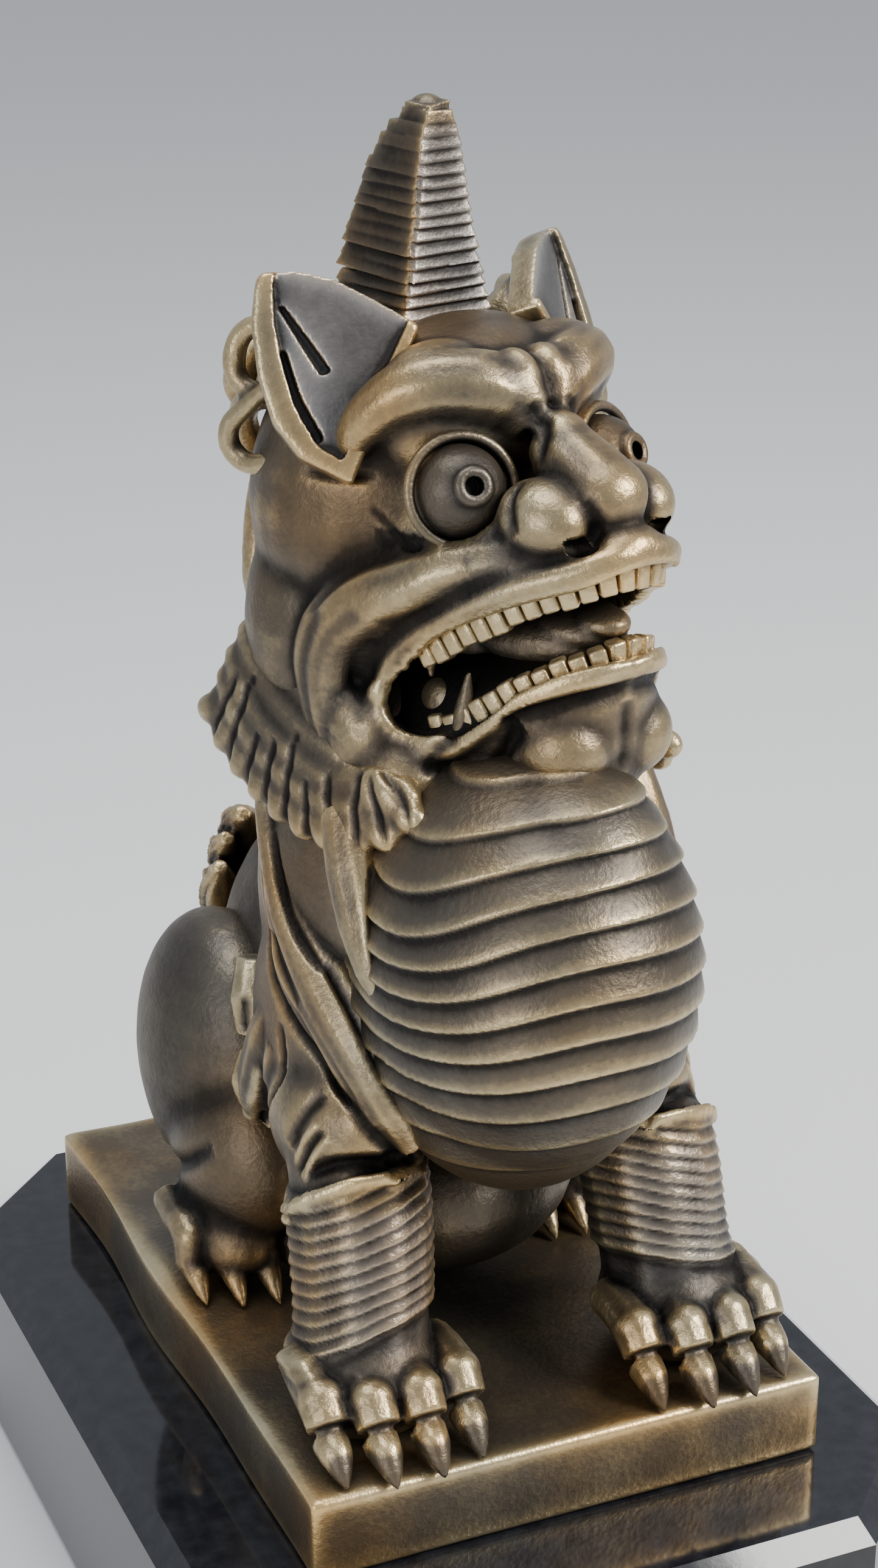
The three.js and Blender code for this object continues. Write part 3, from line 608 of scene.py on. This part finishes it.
tongueForm = {
    "balls": [((0, -40, 141), (12, 19, 7)), ((0, -48, 143.5), (8.5, 12, 4.6)), ((0, -56, 145.6), (4.6, 6, 2.6)),
              ((0, -32, 140), (14, 14, 9)), ((-16, -34, 128), (3, 4.6, 5)), ((16, -34, 128), (3, 4.6, 5))],
    "fangs": [[(-17.6, -41, 123, 2.2), (-17.4, -42, 129.5, 1.9), (-17, -42.6, 136.5, 0.5)],
              [(-19.4, -34, 143, 1.8), (-19.4, -35, 138.5, 1.5), (-19.2, -35.4, 134, 0.4)]],
    "grain": 0.5, "shadow": 0.12,
}
parts = [ball(*b) for b in tongueForm["balls"]] + bothSides(strand, tongueForm["fangs"])
lump = melt(weld(parts, "tongue"), tongueForm["grain"], 2)
relief(lump, shadow=tongueForm["shadow"])
turnHead(lump)
finishPiece(lump, bronzeShaded, "bronze", "tongue")

hornForm = {
    "rings": 17, "base": 187.0, "top": 223.6, "front": (-15.8, -13.6), "grain": 0.26, "painted_sheen": 0.5,
    "share": (0, 0.1, 0.21, 0.46, 0.72, 0.93, 1), "wide": (21.2, 19.2, 17.2, 13.6, 11.0, 8.0, 6.2),
    "deep": (21.2, 20.9, 20.5, 19.2, 15.4, 10.8, 7.4),
    "core": ((0, -8, 204), (5.4, 5, 36)), "cap": ((0.2, -9.6, 222.4), (5.2, 5.6, 4.6), (4, -6, 12)),
    "knob": ((0.6, -9, 223.8), (2.6, 3, 1.9)), "ringTaper": (0.9, 0.93),
    "ridge": ("cut", 0.9, 0.5, [(-9.6, -15.4, 191), (-7.6, -15, 199), (-6, -14.6, 208), (-4.6, -14.2, 216)]),
}
rings = []
pitch = (hornForm["top"] - hornForm["base"]) / hornForm["rings"]
for i in range(-1, hornForm["rings"]):
    s = max(i, 0) / (hornForm["rings"] - 1)
    wide = np.interp(s, hornForm["share"], hornForm["wide"]) * random.uniform(0.97, 1.03)
    deep = np.interp(s, hornForm["share"], hornForm["deep"]) * random.uniform(0.985, 1.015)
    front = hornForm["front"][0] + (hornForm["front"][1] - hornForm["front"][0]) * s
    tall = pitch * 0.9 if i >= 0 else pitch * 3
    middle = hornForm["base"] + (i + 0.5) * pitch - (pitch if i < 0 else 0)
    slab = block((0, front + deep / 2, middle), (wide, deep, tall),
                 (random.uniform(-1, 1), random.uniform(-1.2, 1.2), random.uniform(-1, 1)))
    pick(slab)
    bpy.ops.object.transform_apply(location=False, rotation=False, scale=True)
    for v in slab.data.vertices:
        if v.co.z > 0:
            v.co.x *= hornForm["ringTaper"][0]
            v.co.y *= hornForm["ringTaper"][1]
    rings.append(slab)
rings += [block(*hornForm["core"]), block(*hornForm["cap"]), ball(*hornForm["knob"])]
lump = melt(weld(rings, "horn"), hornForm["grain"], 1)
tool(lump, [hornForm["ridge"]], mirrored=False)
places, facing = readSkin(lump)
# painted sheen: the forward-facing faces of the horn, below its tip, get a painted pale reflection
onFront = np.clip((-facing[:, 1] - 0.55) / 0.3, 0, 1) * np.clip((222 - places[:, 2]) / 3, 0, 1)
relief(lump, painted_sheen=hornForm["painted_sheen"] * onFront)
turnHead(lump)
finishPiece(lump, bronzeHorn, "dark_bronze", "horn")

earForm = {
    "front": (17.6, -19.4, 190.4), "low": (31.2, -20.4, 168.5), "tip": (31.4, -5.6, 198.5),
    # the rest is drawn on the ear's own face: along its root, up to its tip, and out of it
    "edge": [(16, -6), (17, 3), (17.4, 10), (16.2, 16), (13.6, 21.4), (12, 21.8), (5.4, 19.8), (-2.2, 15.4),
             (-8.6, 10), (-12.2, 3.6), (-12.8, -6)],
    "inner": [(16, -4), (21, 3), (21, 10), (19, 17), (14.8, 19.4), (12.2, 18.8), (6.4, 16), (-0.4, 11.4),
              (-6, 6.2), (-9.2, 1.4), (-9.8, -3)],
    "slots": [[(3.2, 4.4), (6.6, 10), (10.9, 17.6), (10.3, 18), (5.5, 11.2), (1.8, 5.8)],
              [(3.4, 12.8), (-3, 7.2), (-7.6, 1.2), (-9, 2), (-4.2, 8.2), (2.6, 13.6)]],
    "slotDepth": (-0.9, -1.0), "rim": (-5, 1.4), "dish": 0.2,
    "back": [(12, 17, -2, 1.8), (8, 11, -4, 4), (3, 3, -7, 7), (0, -6, -9, 9)],
    "tipBack": [(30.5, -6.5, 195.5, 1.5), (26.5, -7.5, 191, 4), (21.5, -8, 185, 6.5), (18, -8, 178, 8)],
    "grain": {"shell": 0.6, "dish": 0.35, "slot": 0.3, "skin": 0.4}, "painted_sheen": 0.65,
}
for side, word in ((-1, "right"), (1, "left")):
    front, low, tip = (Vector(earForm[k]) for k in ("front", "low", "tip"))
    root = (front + low) / 2
    across = (front - low).normalized()
    outward = (front - low).cross(tip - low).normalized()
    if outward.y > 0:
        outward.negate()
    rise = across.cross(outward).normalized()
    if rise.dot(tip - root) < 0:
        rise.negate()

    def onEar(u, v, w):
        p = root + across * u + rise * v + outward * w
        return (p.x * side, p.y, p.z)

    def leaf(points, back, ahead):
        count = len(points)
        corners = [spot(onEar(u, v, back)) for u, v in points] + [spot(onEar(u, v, ahead)) for u, v in points]
        faces = [tuple(range(count)), tuple(range(2 * count - 1, count - 1, -1))]
        faces += [(i, i + count, (i + 1) % count + count, (i + 1) % count) for i in range(count)]
        return solidFrom(corners, faces, "leaf")

    back = strand([onEar(u, v, w) + (r,) for u, v, w, r in earForm["back"]])
    tipBack = strand([(x * side, y, z, r) for x, y, z, r in earForm["tipBack"]])
    shell = weld([leaf(earForm["edge"], *earForm["rim"]), back, tipBack], "ear_" + word)
    melt(shell, earForm["grain"]["shell"], 6)
    carveOut(shell, [leaf(earForm["inner"], earForm["dish"], 8)], earForm["grain"]["dish"])
    slots = [leaf(points, deep, 5) for points, deep in zip(earForm["slots"], earForm["slotDepth"])]
    carveOut(shell, slots, earForm["grain"]["slot"])
    melt(shell, earForm["grain"]["skin"], 2)
    places, facing = readSkin(shell)
    look = np.array([outward.x * side, outward.y, outward.z])
    inside = np.array(root) * np.array([side, 1, 1])
    depth = (places - inside) @ look
    # painted sheen on the ear's inner face where it looks outward, with a touch of painted shade there
    flat = np.clip((facing @ look - 0.6) / 0.3, 0, 1) * np.clip((1.0 - depth) / 0.8, 0, 1)
    relief(shell, painted_sheen=earForm["painted_sheen"] * flat, shadow=0.02 * flat)
    turnHead(shell)
    finishPiece(shell, bronze, "bronze", "ear_" + word)

crownForm = {
    "ribbons": 3,  # the first loops are ribbons, left smooth
    "loops": [
        [(-28, -4, 180, 1.4), (-29.5, 2, 175, 1.7), (-31, 6, 169.5, 1.9), (-30, 4.5, 165.4, 2),
         (-28.5, -3, 165.8, 1.8), (-28.5, -9, 168.5, 1.4)],
        [(-26, -2, 188.5, 1.6), (-28, 3, 188, 1.9), (-29.6, 5.4, 183.5, 2.1), (-29.4, 4.4, 178.6, 2),
         (-27.6, 0, 177, 1.6)],
        [(-25, 4, 176, 2.4), (-24, 11, 172, 2.6), (-20, 16, 165, 2.6), (-17, 17, 160, 2)],
        [(-10, 4, 189, 3), (-17, 10, 186, 3.3), (-21, 15, 179, 3.2), (-19, 18, 172, 2.8), (-14, 18, 173, 2.2)],
        [(-4, 6, 189, 3), (-9, 15, 182, 3.6), (-11, 19, 172, 3.2), (-7, 20, 165, 2.6), (-4, 19, 168, 2)],
        [(-20, 10, 163, 2.5), (-20, 12.5, 151, 3.2), (-21.5, 11.5, 140, 3), (-19, 12.5, 128, 1.4)],
        [(-14, 14, 162, 3), (-13.5, 17, 150, 3.6), (-15.5, 17, 137, 3.3), (-12.5, 16, 124, 1.3)],
        [(-8, 15, 162, 3), (-8, 20, 148, 3.8), (-10, 19, 134, 3.5), (-7, 17, 119, 1.3)],
    ],
    "middle": [(0, 6, 189, 3), (0, 16, 179, 4), (0, 20, 160, 4), (0, 20, 142, 3.8), (0, 16, 114, 1.4)],
    "under": [((0, 0, 173), (25, 14, 14)), ((0, 3, 150), (24, 14, 24))],
    "grain": 0.6,
}
parts = bothSides(strand, crownForm["loops"])
parts += [strand(crownForm["middle"])] + [ball(*b) for b in crownForm["under"]]
lump = melt(weld(parts, "crown_curls"), crownForm["grain"], 2)
strokes = []
for loop in crownForm["loops"][crownForm["ribbons"]:]:
    strokes.append(("cut", 1.0, 0.9, [(x - 1, y + r, z) for x, y, z, r in loop]))
tool(lump, strokes)
relief(lump)
turnHead(lump)
finishPiece(lump, bronze, "bronze", "crown_curls")

# ruffs of hair below the cheeks
ruffForm = {
    "hem": [(30.6, 12, 121.5), (31.8, 6, 116.6), (32.6, -2, 112), (33, -10, 109), (33, -18, 107.6),
            (32.4, -26, 107.6), (31, -33, 109.6), (29, -38, 113), (27, -41, 117.4)],
    # inset, lift and thickness of each layer
    "levels": [(0, 0, 3.0), (0.8, 4, 3.3), (2.2, 8, 3.6), (4.4, 12.5, 4.0), (7, 17.5, 4.4)],
    "fall": (1, 1, 1, 1, 0.95, 0.8, 0.6, 0.4, 0.2),  # share of the lift at each point of the hem
    "locks": 10,
    "lobe": (2.8, 3.8, 3.0),
    "fill": [((28.8, -33.5, 113.6), (4, 8, 6.4)), ((29.4, -26, 112.6), (3.8, 8, 6.6))],
    "grain": {"mass": 0.8, "skin": 0.5},
}
for side, word in ((-1, "right"), (1, "left")):
    hem = smoothPath(ruffForm["hem"], 0.5)
    lengths = np.concatenate([[0], np.cumsum(np.linalg.norm(np.diff(hem, axis=0), axis=1))])
    parts = []
    for inset, lift, thick in ruffForm["levels"]:
        row = []
        points = ruffForm["hem"] if lift < 6 else ruffForm["hem"][:6]
        for k, (x, y, z) in enumerate(points):
            rise = lift * ruffForm["fall"][k]
            thin = 0.62 if k in (0, 8) else 1
            row.append((side * (x - inset), y - (y + 14) * lift * 0.012, z + rise, thick * thin))
        parts.append(strand(row))

    def onHem(share):
        s = lengths[-1] * share / ruffForm["locks"]
        return [float(np.interp(s, lengths, hem[:, k])) for k in range(3)]

    strokes = []
    for i in range(ruffForm["locks"]):
        x, y, z = onHem(i + 0.5)
        lean = (y + 14) * 0.1
        parts.append(ball((side * (x + 0.6), y + lean, z - 2.0), ruffForm["lobe"]))
        x, y, z = onHem(i + 1.0)
        lean = (y + 14) * 0.1
        far = 11 + 4 * math.sin(i * 2.1)
        strokes.append(("groove", 0.9, 0.8, [
            (side * (x + 3), y + lean, z - 6), (side * (x + 4), y + lean * 0.6, z - 2),
            (side * (x + 4), y - lean, z + far * 0.5), (side * (x + 3), y - lean * 2, z + far)]))
    parts += [ball((side * x, y, z), radii) for (x, y, z), radii in ruffForm["fill"]]
    lump = melt(weld(parts, "ruff_" + word), ruffForm["grain"]["mass"], 8)
    melt(lump, ruffForm["grain"]["skin"], 0)
    tool(lump, strokes, mirrored=False)
    relief(lump)
    turnHead(lump)
    finishPiece(lump, bronze, "bronze", "ruff_" + word)

breastForm = {
    "front": [((-0.5, -50, 85.5), (29.4, 35, 38.5)), ((0, -44, 78), (29, 32, 39))],
    "neck": [((0, -28, 104), (26, 27, 14)), ((3, -58, 103), (18, 20, 21))],
    "low": 50.0, "high": 131.0,
    "topPitch": 3.9, "growth": 0.062,  # the bands widen downwards
    "lip": 0.95, "lipShare": 0.14, "flatten": 0.0095, "rise": 0.07,
    "grain": {"mass": 1.2, "skin": 0.55},
}
parts = [ball(*b, sides=48) for b in breastForm["front"]] + [ball(*b) for b in breastForm["neck"]]
lump = melt(weld(parts, "ribbed_breast"), breastForm["grain"]["mass"], 8)
melt(lump, breastForm["grain"]["skin"], 0)
places, facing = readSkin(lump)
height = places[:, 2] + 0.5 * np.sin(places[:, 0] * 0.16 + places[:, 2] * 0.07)
height -= breastForm["rise"] * places[:, 0]
height += breastForm["flatten"] * places[:, 0] ** 2 * np.clip((places[:, 2] - 45) / 40, 0.2, 1.3)
below = np.clip(breastForm["high"] - height, 0, None)
level = np.log(1 + below * breastForm["growth"] / breastForm["topPitch"]) / breastForm["growth"]
phase = level - np.floor(level)
slope = 1 - breastForm["lipShare"]
saw = np.clip(phase / slope, 0, 1) ** 1.3 - np.clip((phase - slope) / breastForm["lipShare"], 0, 1)
onBand = np.clip((places[:, 2] - breastForm["low"] + 3) / 6, 0, 1)
onBand *= np.clip((breastForm["high"] - places[:, 2]) / 3, 0, 1)
outward = np.stack([places[:, 0] / 30.5, (places[:, 1] + 45) / 38.5, np.zeros(len(places))], axis=1)
outward /= np.maximum(np.linalg.norm(outward, axis=1), 1e-6)[:, None]
outward = outward * 0.65 + facing * 0.5
writeSkin(lump, places + outward * (breastForm["lip"] * (saw - 0.4) * onBand)[:, None])
relief(lump)
finishPiece(lump, bronze, "bronze", "ribbed_breast")

torsoForm = {
    "mass": [((0, -16, 82), (32, 30, 46)), ((0, 20, 48), (30, 38, 42)), ((0, -14, 114), (30, 28, 24)),
             ((0, 10, 22), (34, 44, 22)), ((0, 6, 98), (24, 18, 22)), ((0, 24, 76), (18, 20, 20))],
    "spine": [(14, 113), (19, 104), (25, 96), (32, 89), (40, 81), (47, 72), (53, 62)],
    "crest": 4.4,
    "lock": [(-1, -2, 4, 3.4), (-3.6, 2, 0, 3.2), (-6.4, 3.4, -5, 2.4), (-7.4, 3, -9, 1.2)],
    "grain": {"mass": 1.3, "skin": 0.76},
}
lump = weld([ball(*b) for b in torsoForm["mass"]], "torso")
melt(lump, torsoForm["grain"]["mass"], 10)
locks = [strand([(0, y, z, torsoForm["crest"]) for y, z in torsoForm["spine"]])]
for y, z in torsoForm["spine"][:-1]:
    locks += bothSides(strand, [[(x, y + back, z + up, r) for x, back, up, r in torsoForm["lock"]]])
lump = melt(weld([lump] + locks, "torso"), torsoForm["grain"]["skin"], 2)
relief(lump)
finishPiece(lump, bronzeShaded, "bronze", "torso")

legForm = {
    "mass": [((24, -16, 86), (10.5, 21, 31)), ((27, -20, 62), (10.5, 21, 27)), ((28, -31, 50), (12, 18, 14)),
             ((25.5, -41, 54), (9.5, 8.5, 8)), ((31, -50, 9), (14.5, 15, 11))],
    "shin": [(27, -34, 50, 12.3), (28.6, -42, 36, 12.3), (29.6, -46, 22, 11.8), (30.6, -49, 10, 12.2)],
    "locks": [
        [(30, -7, 108, 4), (30.6, -14, 95, 5), (30.8, -23.5, 84.5, 5.6), (29.4, -33.5, 76, 6.2),
         (27, -42.6, 67.5, 6), (24, -47.6, 58.5, 5), (21.4, -49, 51, 2.4)],
        [(26, -33, 110, 5.4), (27, -39, 101, 5.6), (27.6, -44.2, 93, 5), (27.6, -49, 86, 3.8),
         (27, -52, 80.5, 1.6)],
        [(32.6, -20, 71, 3.5), (33, -15, 60, 6), (33, -11, 49, 6.8), (33, -9.5, 41.5, 5.6)],
        [(30, 6, 66, 3.5), (31, 4.5, 58, 4.6), (32, 3, 51.5, 3)],
        [(32.5, 0, 50, 3), (34, -2, 44.5, 4), (34, -3, 40, 2.6)],
    ],
    "toes": [(43.2, -61.5), (35.2, -65), (26.4, -65.4), (17.8, -62.4)],
    "ringPitch": 2.6, "ringDepth": 0.5, "ringProud": 1.2,
    "painted_sheen": 0.36, "clawShadow": 0.35,
    "grain": {"mass": 1.2, "skin": 0.55},
    "strokes": [
        ("cut", 1.5, 1.3, [(34, -3, 104), (35.4, -10, 92), (36.6, -18, 78), (36, -29, 70), (33, -38, 64),
                           (27.6, -48, 54), (23, -48, 49)]),
        ("ridge", 1.6, 1.2, [(35.4, -14, 90), (36, -21, 79.5), (35, -32.5, 72.6), (31.4, -40, 66.4),
                             (25.6, -47.4, 56)]),
        ("cut", 1.5, 1.3, [(33, -15, 100), (34, -24, 88), (31, -36, 80), (29.6, -46.6, 77), (28, -53, 71),
                           (24.4, -52, 60)]),
        ("ridge", 1.6, 0.5, [(26.6, -41, 106), (28, -45, 101), (29.4, -49, 95), (30, -51, 88)]),
        ("cut", 1.1, 0.7, [(25.6, -43, 106), (27, -47.4, 101), (28.4, -51, 95), (29, -53, 88), (28, -54, 80)]),
        ("cut", 1.4, 1.6, [(38, -26, 68), (39, -27, 58), (38.6, -21, 47), (37, -12, 38.5), (36, -5, 35)]),
        ("ridge", 1.6, 0.9, [(38.6, -22, 62), (39.6, -18, 52), (38.6, -12, 43)]),
        ("groove", 1.4, 1.2, [(36, -3, 66), (37, -1, 56), (38, -3, 47)]),
        ("ridge", 1.2, 1.7, [(44.4, -37, 36), (44, -41, 38.6), (43, -43.6, 42.2), (38.6, -47.4, 46),
                             (32, -50, 47), (26.4, -49.6, 46.4), (21, -45, 44)]),
        ("groove", 1.3, 1.7, [(42, -43, 46.4), (38, -46, 49), (32, -48, 49.8), (26.4, -48.6, 49),
                              (21, -45, 47)]),
        ("lips", 1.3, 0.9, [(42, -40, 46), (39.6, -42, 51), (36.6, -43.6, 55)]),
        ("groove", 1.6, 1.0, [(37, -36, 49), (36, -38, 55), (34, -40, 60)]),
    ],
}


def clawAt(x, y, size=1.0):
    return strand([(x, y + 1, 5.6, 3.5 * size), (x, y - 2.2, 4.4, 3.1 * size), (x, y - 5, 2.4, 1.9 * size),
                   (x, y - 7.2, 0.6, 0.35)])


for s, word in ((-1, "right"), (1, "left")):
    parts = [ball((s * at[0], at[1], at[2]), radii) for at, radii in legForm["mass"]]
    parts += [strand([(s * x, y, z, r) for x, y, z, r in legForm["shin"]])]
    lump = melt(weld(parts, "foreleg_" + word), legForm["grain"]["mass"], 8)
    toes = [strand([(s * x, y, z, r) for x, y, z, r in lock]) for lock in legForm["locks"]]
    for x, y in legForm["toes"]:
        toes += [strand([(s * (x * 0.97 + 0.5), y + 14, 11.5, 3.9), (s * x, y + 7, 11.8, 4.2),
                         (s * x, y + 1.6, 10.6, 4.4), (s * x, y - 1.4, 8, 4.1)]),
                 ball((s * x, y + 2, 11.4), (4.4, 4, 4.2)), clawAt(s * x, y - 2.6)]
    lump = melt(weld([lump] + toes, "foreleg_" + word), legForm["grain"]["skin"], 2)
    places, facing = readSkin(lump)
    swell = 0.3 * np.sin(places[:, 0] * 0.25) + 0.3 * np.sin(places[:, 0] * 0.17 + places[:, 2] * 0.2 + s)
    slope = places[:, 2] + 0.30 * (places[:, 1] + 45) + swell + 0.3 * s * (places[:, 0] - s * 32)
    phase = (45 - slope) / legForm["ringPitch"]
    phase = phase - np.floor(phase)
    saw = np.clip(phase / 0.8, 0, 1) - np.clip((phase - 0.8) / 0.2, 0, 1)
    zone = np.clip((slope - 15) / 2, 0, 1) * np.clip((46 - slope) / 1.2, 0, 1)
    zone *= np.clip((-22 - places[:, 1]) / 6, 0, 1)
    proud = legForm["ringDepth"] * (saw - 0.5) * zone + legForm["ringProud"] * zone
    writeSkin(lump, places + facing * proud[:, None])
    for kind, wide, high, line in legForm["strokes"]:
        tool(lump, [(kind, wide, high, [(s * x, y, z) for x, y, z in line])], mirrored=False)
    places, facing = readSkin(lump)
    # painted sheen on the forward-facing shin faces; the claw tips get painted shade
    onShin = np.clip((44 - places[:, 2]) / 3, 0, 1) * np.clip((places[:, 2] - 16) / 3, 0, 1)
    onShin *= np.clip((-facing[:, 1] - 0.5) / 0.4, 0, 1)
    onClaw = np.clip(-67.9 - places[:, 1], 0, 1) * np.clip(6.6 - places[:, 2], 0, 1)
    relief(lump, painted_sheen=legForm["painted_sheen"] * onShin, shadow=legForm["clawShadow"] * onClaw)
    finishPiece(lump, bronze, "bronze", "foreleg_" + word)

hindForm = {
    "mass": [((30, 25, 37.5), (16, 26, 29.5)), ((31, 11, 25), (14, 21, 19)), ((36, 9, 9), (10.5, 16, 9.5))],
    "across": 36, "toes": [(-9.5, 2.5), (-3.2, -1), (3.4, -2.5), (9.8, -2)],  # across the foot from its middle
    "innerArch": 19, "outerArch": 13,  # inner toes stand higher
    "grain": {"mass": 1.2, "skin": 0.65},
    "fold": ("groove", 2.0, 1.4, [(44, -2, 32), (45, 8, 24), (44, 20, 18), (40, 34, 12)]),
}
for s, word in ((-1, "right"), (1, "left")):
    lump = weld([ball((s * at[0], at[1], at[2]), radii) for at, radii in hindForm["mass"]], "hind_leg_" + word)
    melt(lump, hindForm["grain"]["mass"], 10)
    toes = []
    for k, y in hindForm["toes"]:
        x = s * (hindForm["across"] - k)
        arch = hindForm["innerArch"] if abs(k) < 5 else hindForm["outerArch"]
        toes += [strand([(x, y + 14, arch, 3.2), (x, y + 7, arch - 1, 3.5), (x, y + 1.4, 11.5, 3.5),
                         (x, y - 0.6, 5.5, 3.4)]),
                 ball((x, y + 0.6, 11), (3.4, 3.6, 3.6)), clawAt(x, y - 1.4, 0.75)]
    lump = melt(weld([lump] + toes, "hind_leg_" + word), hindForm["grain"]["skin"], 2)
    kind, wide, high, line = hindForm["fold"]
    tool(lump, [(kind, wide, high, [(s * x, y, z) for x, y, z in line])], mirrored=False)
    relief(lump)
    finishPiece(lump, bronzeShaded, "bronze", "hind_leg_" + word)

tailForm = {
    "grain": 0.7, "hairs": (-2.5, 0, 2.5),
    "middle": [(0, 60, 10, 7), (0, 66, 34, 8), (0, 66, 54, 7), (0, 62, 70, 5), (0, 58, 78, 2.5)],
    "curls": [
        [(-3, 58, 4, 8), (-4, 62, 22, 9), (-5, 64, 42, 9), (-8, 64, 56, 7.5), (-11.4, 61, 66, 6.4),
         (-14, 57, 71, 4.6), (-15, 52, 75.5, 1.8)],
        [(-6, 60, 28, 5), (-13, 61, 42, 6), (-17.6, 58, 54, 5.4), (-20.6, 53, 61, 4), (-21.6, 48, 66.5, 1.6)],
        [(-4, 64, 40, 5), (-10, 66, 52, 5), (-15.4, 62, 61, 4.4), (-18.4, 56, 67, 3.4), (-19, 51, 71, 1.6)],
    ],
}
parts = bothSides(strand, tailForm["curls"]) + [strand(tailForm["middle"])]
lump = melt(weld(parts, "tail"), tailForm["grain"], 3)
strokes = []
for curl in tailForm["curls"] + [tailForm["middle"]]:
    for k in tailForm["hairs"]:
        strokes.append(("cut", 1.1, 1.0, [(x + k * 0.7, y + r, z + k * 0.5) for x, y, z, r in curl]))
        strokes.append(("cut", 1.0, 0.8, [(x - r, y + k * 0.7, z + k * 0.5) for x, y, z, r in curl]))
tool(lump, strokes)
relief(lump)
finishPiece(lump, bronze, "bronze", "tail")

plinthForm = {"wide": 100, "long": 145, "tall": 16, "grain": 1.0, "rub": 5, "waves": (0.5, 0.35)}
lump = block((0, 0, -plinthForm["tall"] / 2), (plinthForm["wide"], plinthForm["long"], plinthForm["tall"]))
lump = melt(weld([lump], "plinth"), plinthForm["grain"], plinthForm["rub"])
places, facing = readSkin(lump)
waves = plinthForm["waves"][0] * np.sin(places[:, 1] * 0.07 + 1)
waves += plinthForm["waves"][1] * np.sin(places[:, 0] * 0.13 + places[:, 1] * 0.11)
waves *= np.clip((np.abs(places[:, 0]) - 30) / 20, 0, 1)
writeSkin(lump, places + facing * waves[:, None])
relief(lump)
finishPiece(lump, bronzePlinthLit, "bronze", "plinth")


def plainFinish(name, low, high, roughness, metal, scale, bump):
    material = bpy.data.materials.new(name)
    material.use_nodes = True
    tree = material.node_tree
    link = tree.links.new
    shader = tree.nodes["Principled BSDF"]
    shader.inputs["Metallic"].default_value = metal
    place = node(tree, "TexCoord").outputs["Object"]
    noise = node(tree, "TexNoise", {"Scale": scale, "Detail": 5, "Roughness": 0.6})
    link(place, noise.inputs["Vector"])
    link(ramp(tree, [(0.35, low), (0.7, high)], noise.outputs["Fac"]), shader.inputs["Base Color"])
    rough = node(tree, "MapRange", {"To Min": roughness * 0.8, "To Max": roughness * 1.3})
    link(noise.outputs["Fac"], rough.inputs["Value"])
    link(rough.outputs["Result"], shader.inputs["Roughness"])
    skin = node(tree, "Bump", {"Strength": bump, "Distance": 0.0003})
    link(noise.outputs["Fac"], skin.inputs["Height"])
    link(skin.outputs["Normal"], shader.inputs["Normal"])
    return material


baseFinishes = {  # the CAD nodes that stay, with two colours, roughness, metal, grain and bump
    "marble": plainFinish("blackMarble", (0.006, 0.006, 0.008), (0.016, 0.017, 0.02), 0.07, 0, 260, 0.02),
    "base_felt": plainFinish("baseFelt", (0.01, 0.03, 0.018), (0.02, 0.055, 0.03), 0.95, 0, 900, 0.6),
    "fixing": plainFinish("fixingSteel", (0.32, 0.32, 0.33), (0.5, 0.5, 0.51), 0.35, 1, 300, 0.1),
}
for name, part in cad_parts.items():
    for start, finish in baseFinishes.items():
        if name.startswith(start):
            for place in part.material_slots:
                place.material = finish
print("made base finishes", flush=True)

# the floor and the light
stageForm = {
    "floorSize": 6, "floorColor": (0.68, 0.67, 0.65, 1), "floorRoughness": 0.8,
    "skyColor": (0.80, 0.86, 0.95, 1), "sky": 0.72,
}
bpy.ops.mesh.primitive_plane_add(size=stageForm["floorSize"], location=(0, 0, -0.0002))
floor = bpy.context.object
floor.name = "floor"
floorFinish = bpy.data.materials.new("floor")
floorFinish.use_nodes = True
paint = floorFinish.node_tree.nodes["Principled BSDF"]
paint.inputs["Base Color"].default_value = stageForm["floorColor"]
paint.inputs["Roughness"].default_value = stageForm["floorRoughness"]
floor.data.materials.append(floorFinish)

world = bpy.data.worlds.new("sky")
world.use_nodes = True
sky = world.node_tree.nodes["Background"]
sky.inputs["Color"].default_value = stageForm["skyColor"]
sky.inputs["Strength"].default_value = stageForm["sky"]
bpy.context.scene.world = world


def lamp(name, at, size, power, color):
    bpy.ops.object.light_add(type="AREA", location=at)
    light = bpy.context.object
    light.name = name
    light.data.shape = "DISK"
    light.data.size = size
    light.data.energy = power
    light.data.color = color
    light.rotation_euler = (lampAim - Vector(at)).to_track_quat("-Z", "Y").to_euler()


lampAim = Vector((0, 0, 0.17))
lamp("windowRight", (0.7, -0.65, 0.8), 0.5, 19, (1.0, 0.98, 0.95))
lamp("skyTop", (-0.1, 0.05, 1.15), 0.8, 9, (0.9, 0.94, 1.0))
lamp("roomLeft", (-0.9, -0.5, 0.45), 0.7, 4.5, (0.95, 0.96, 1.0))

cameraForm = {"place": (-0.1995, -0.4665, 0.3001), "tilt": 68.3, "swing": -23.7, "sensor": 36, "lens": 67.55}
x, y, z = cameraForm["place"]
bpy.ops.object.camera_add(location=(x, y, z + standZ),
                          rotation=(math.radians(cameraForm["tilt"]), 0, math.radians(cameraForm["swing"])))
camera = bpy.context.object
camera.data.sensor_width = cameraForm["sensor"]
camera.data.lens = cameraForm["lens"]
bpy.context.scene.camera = camera
print("floor, lamps and camera set", flush=True)
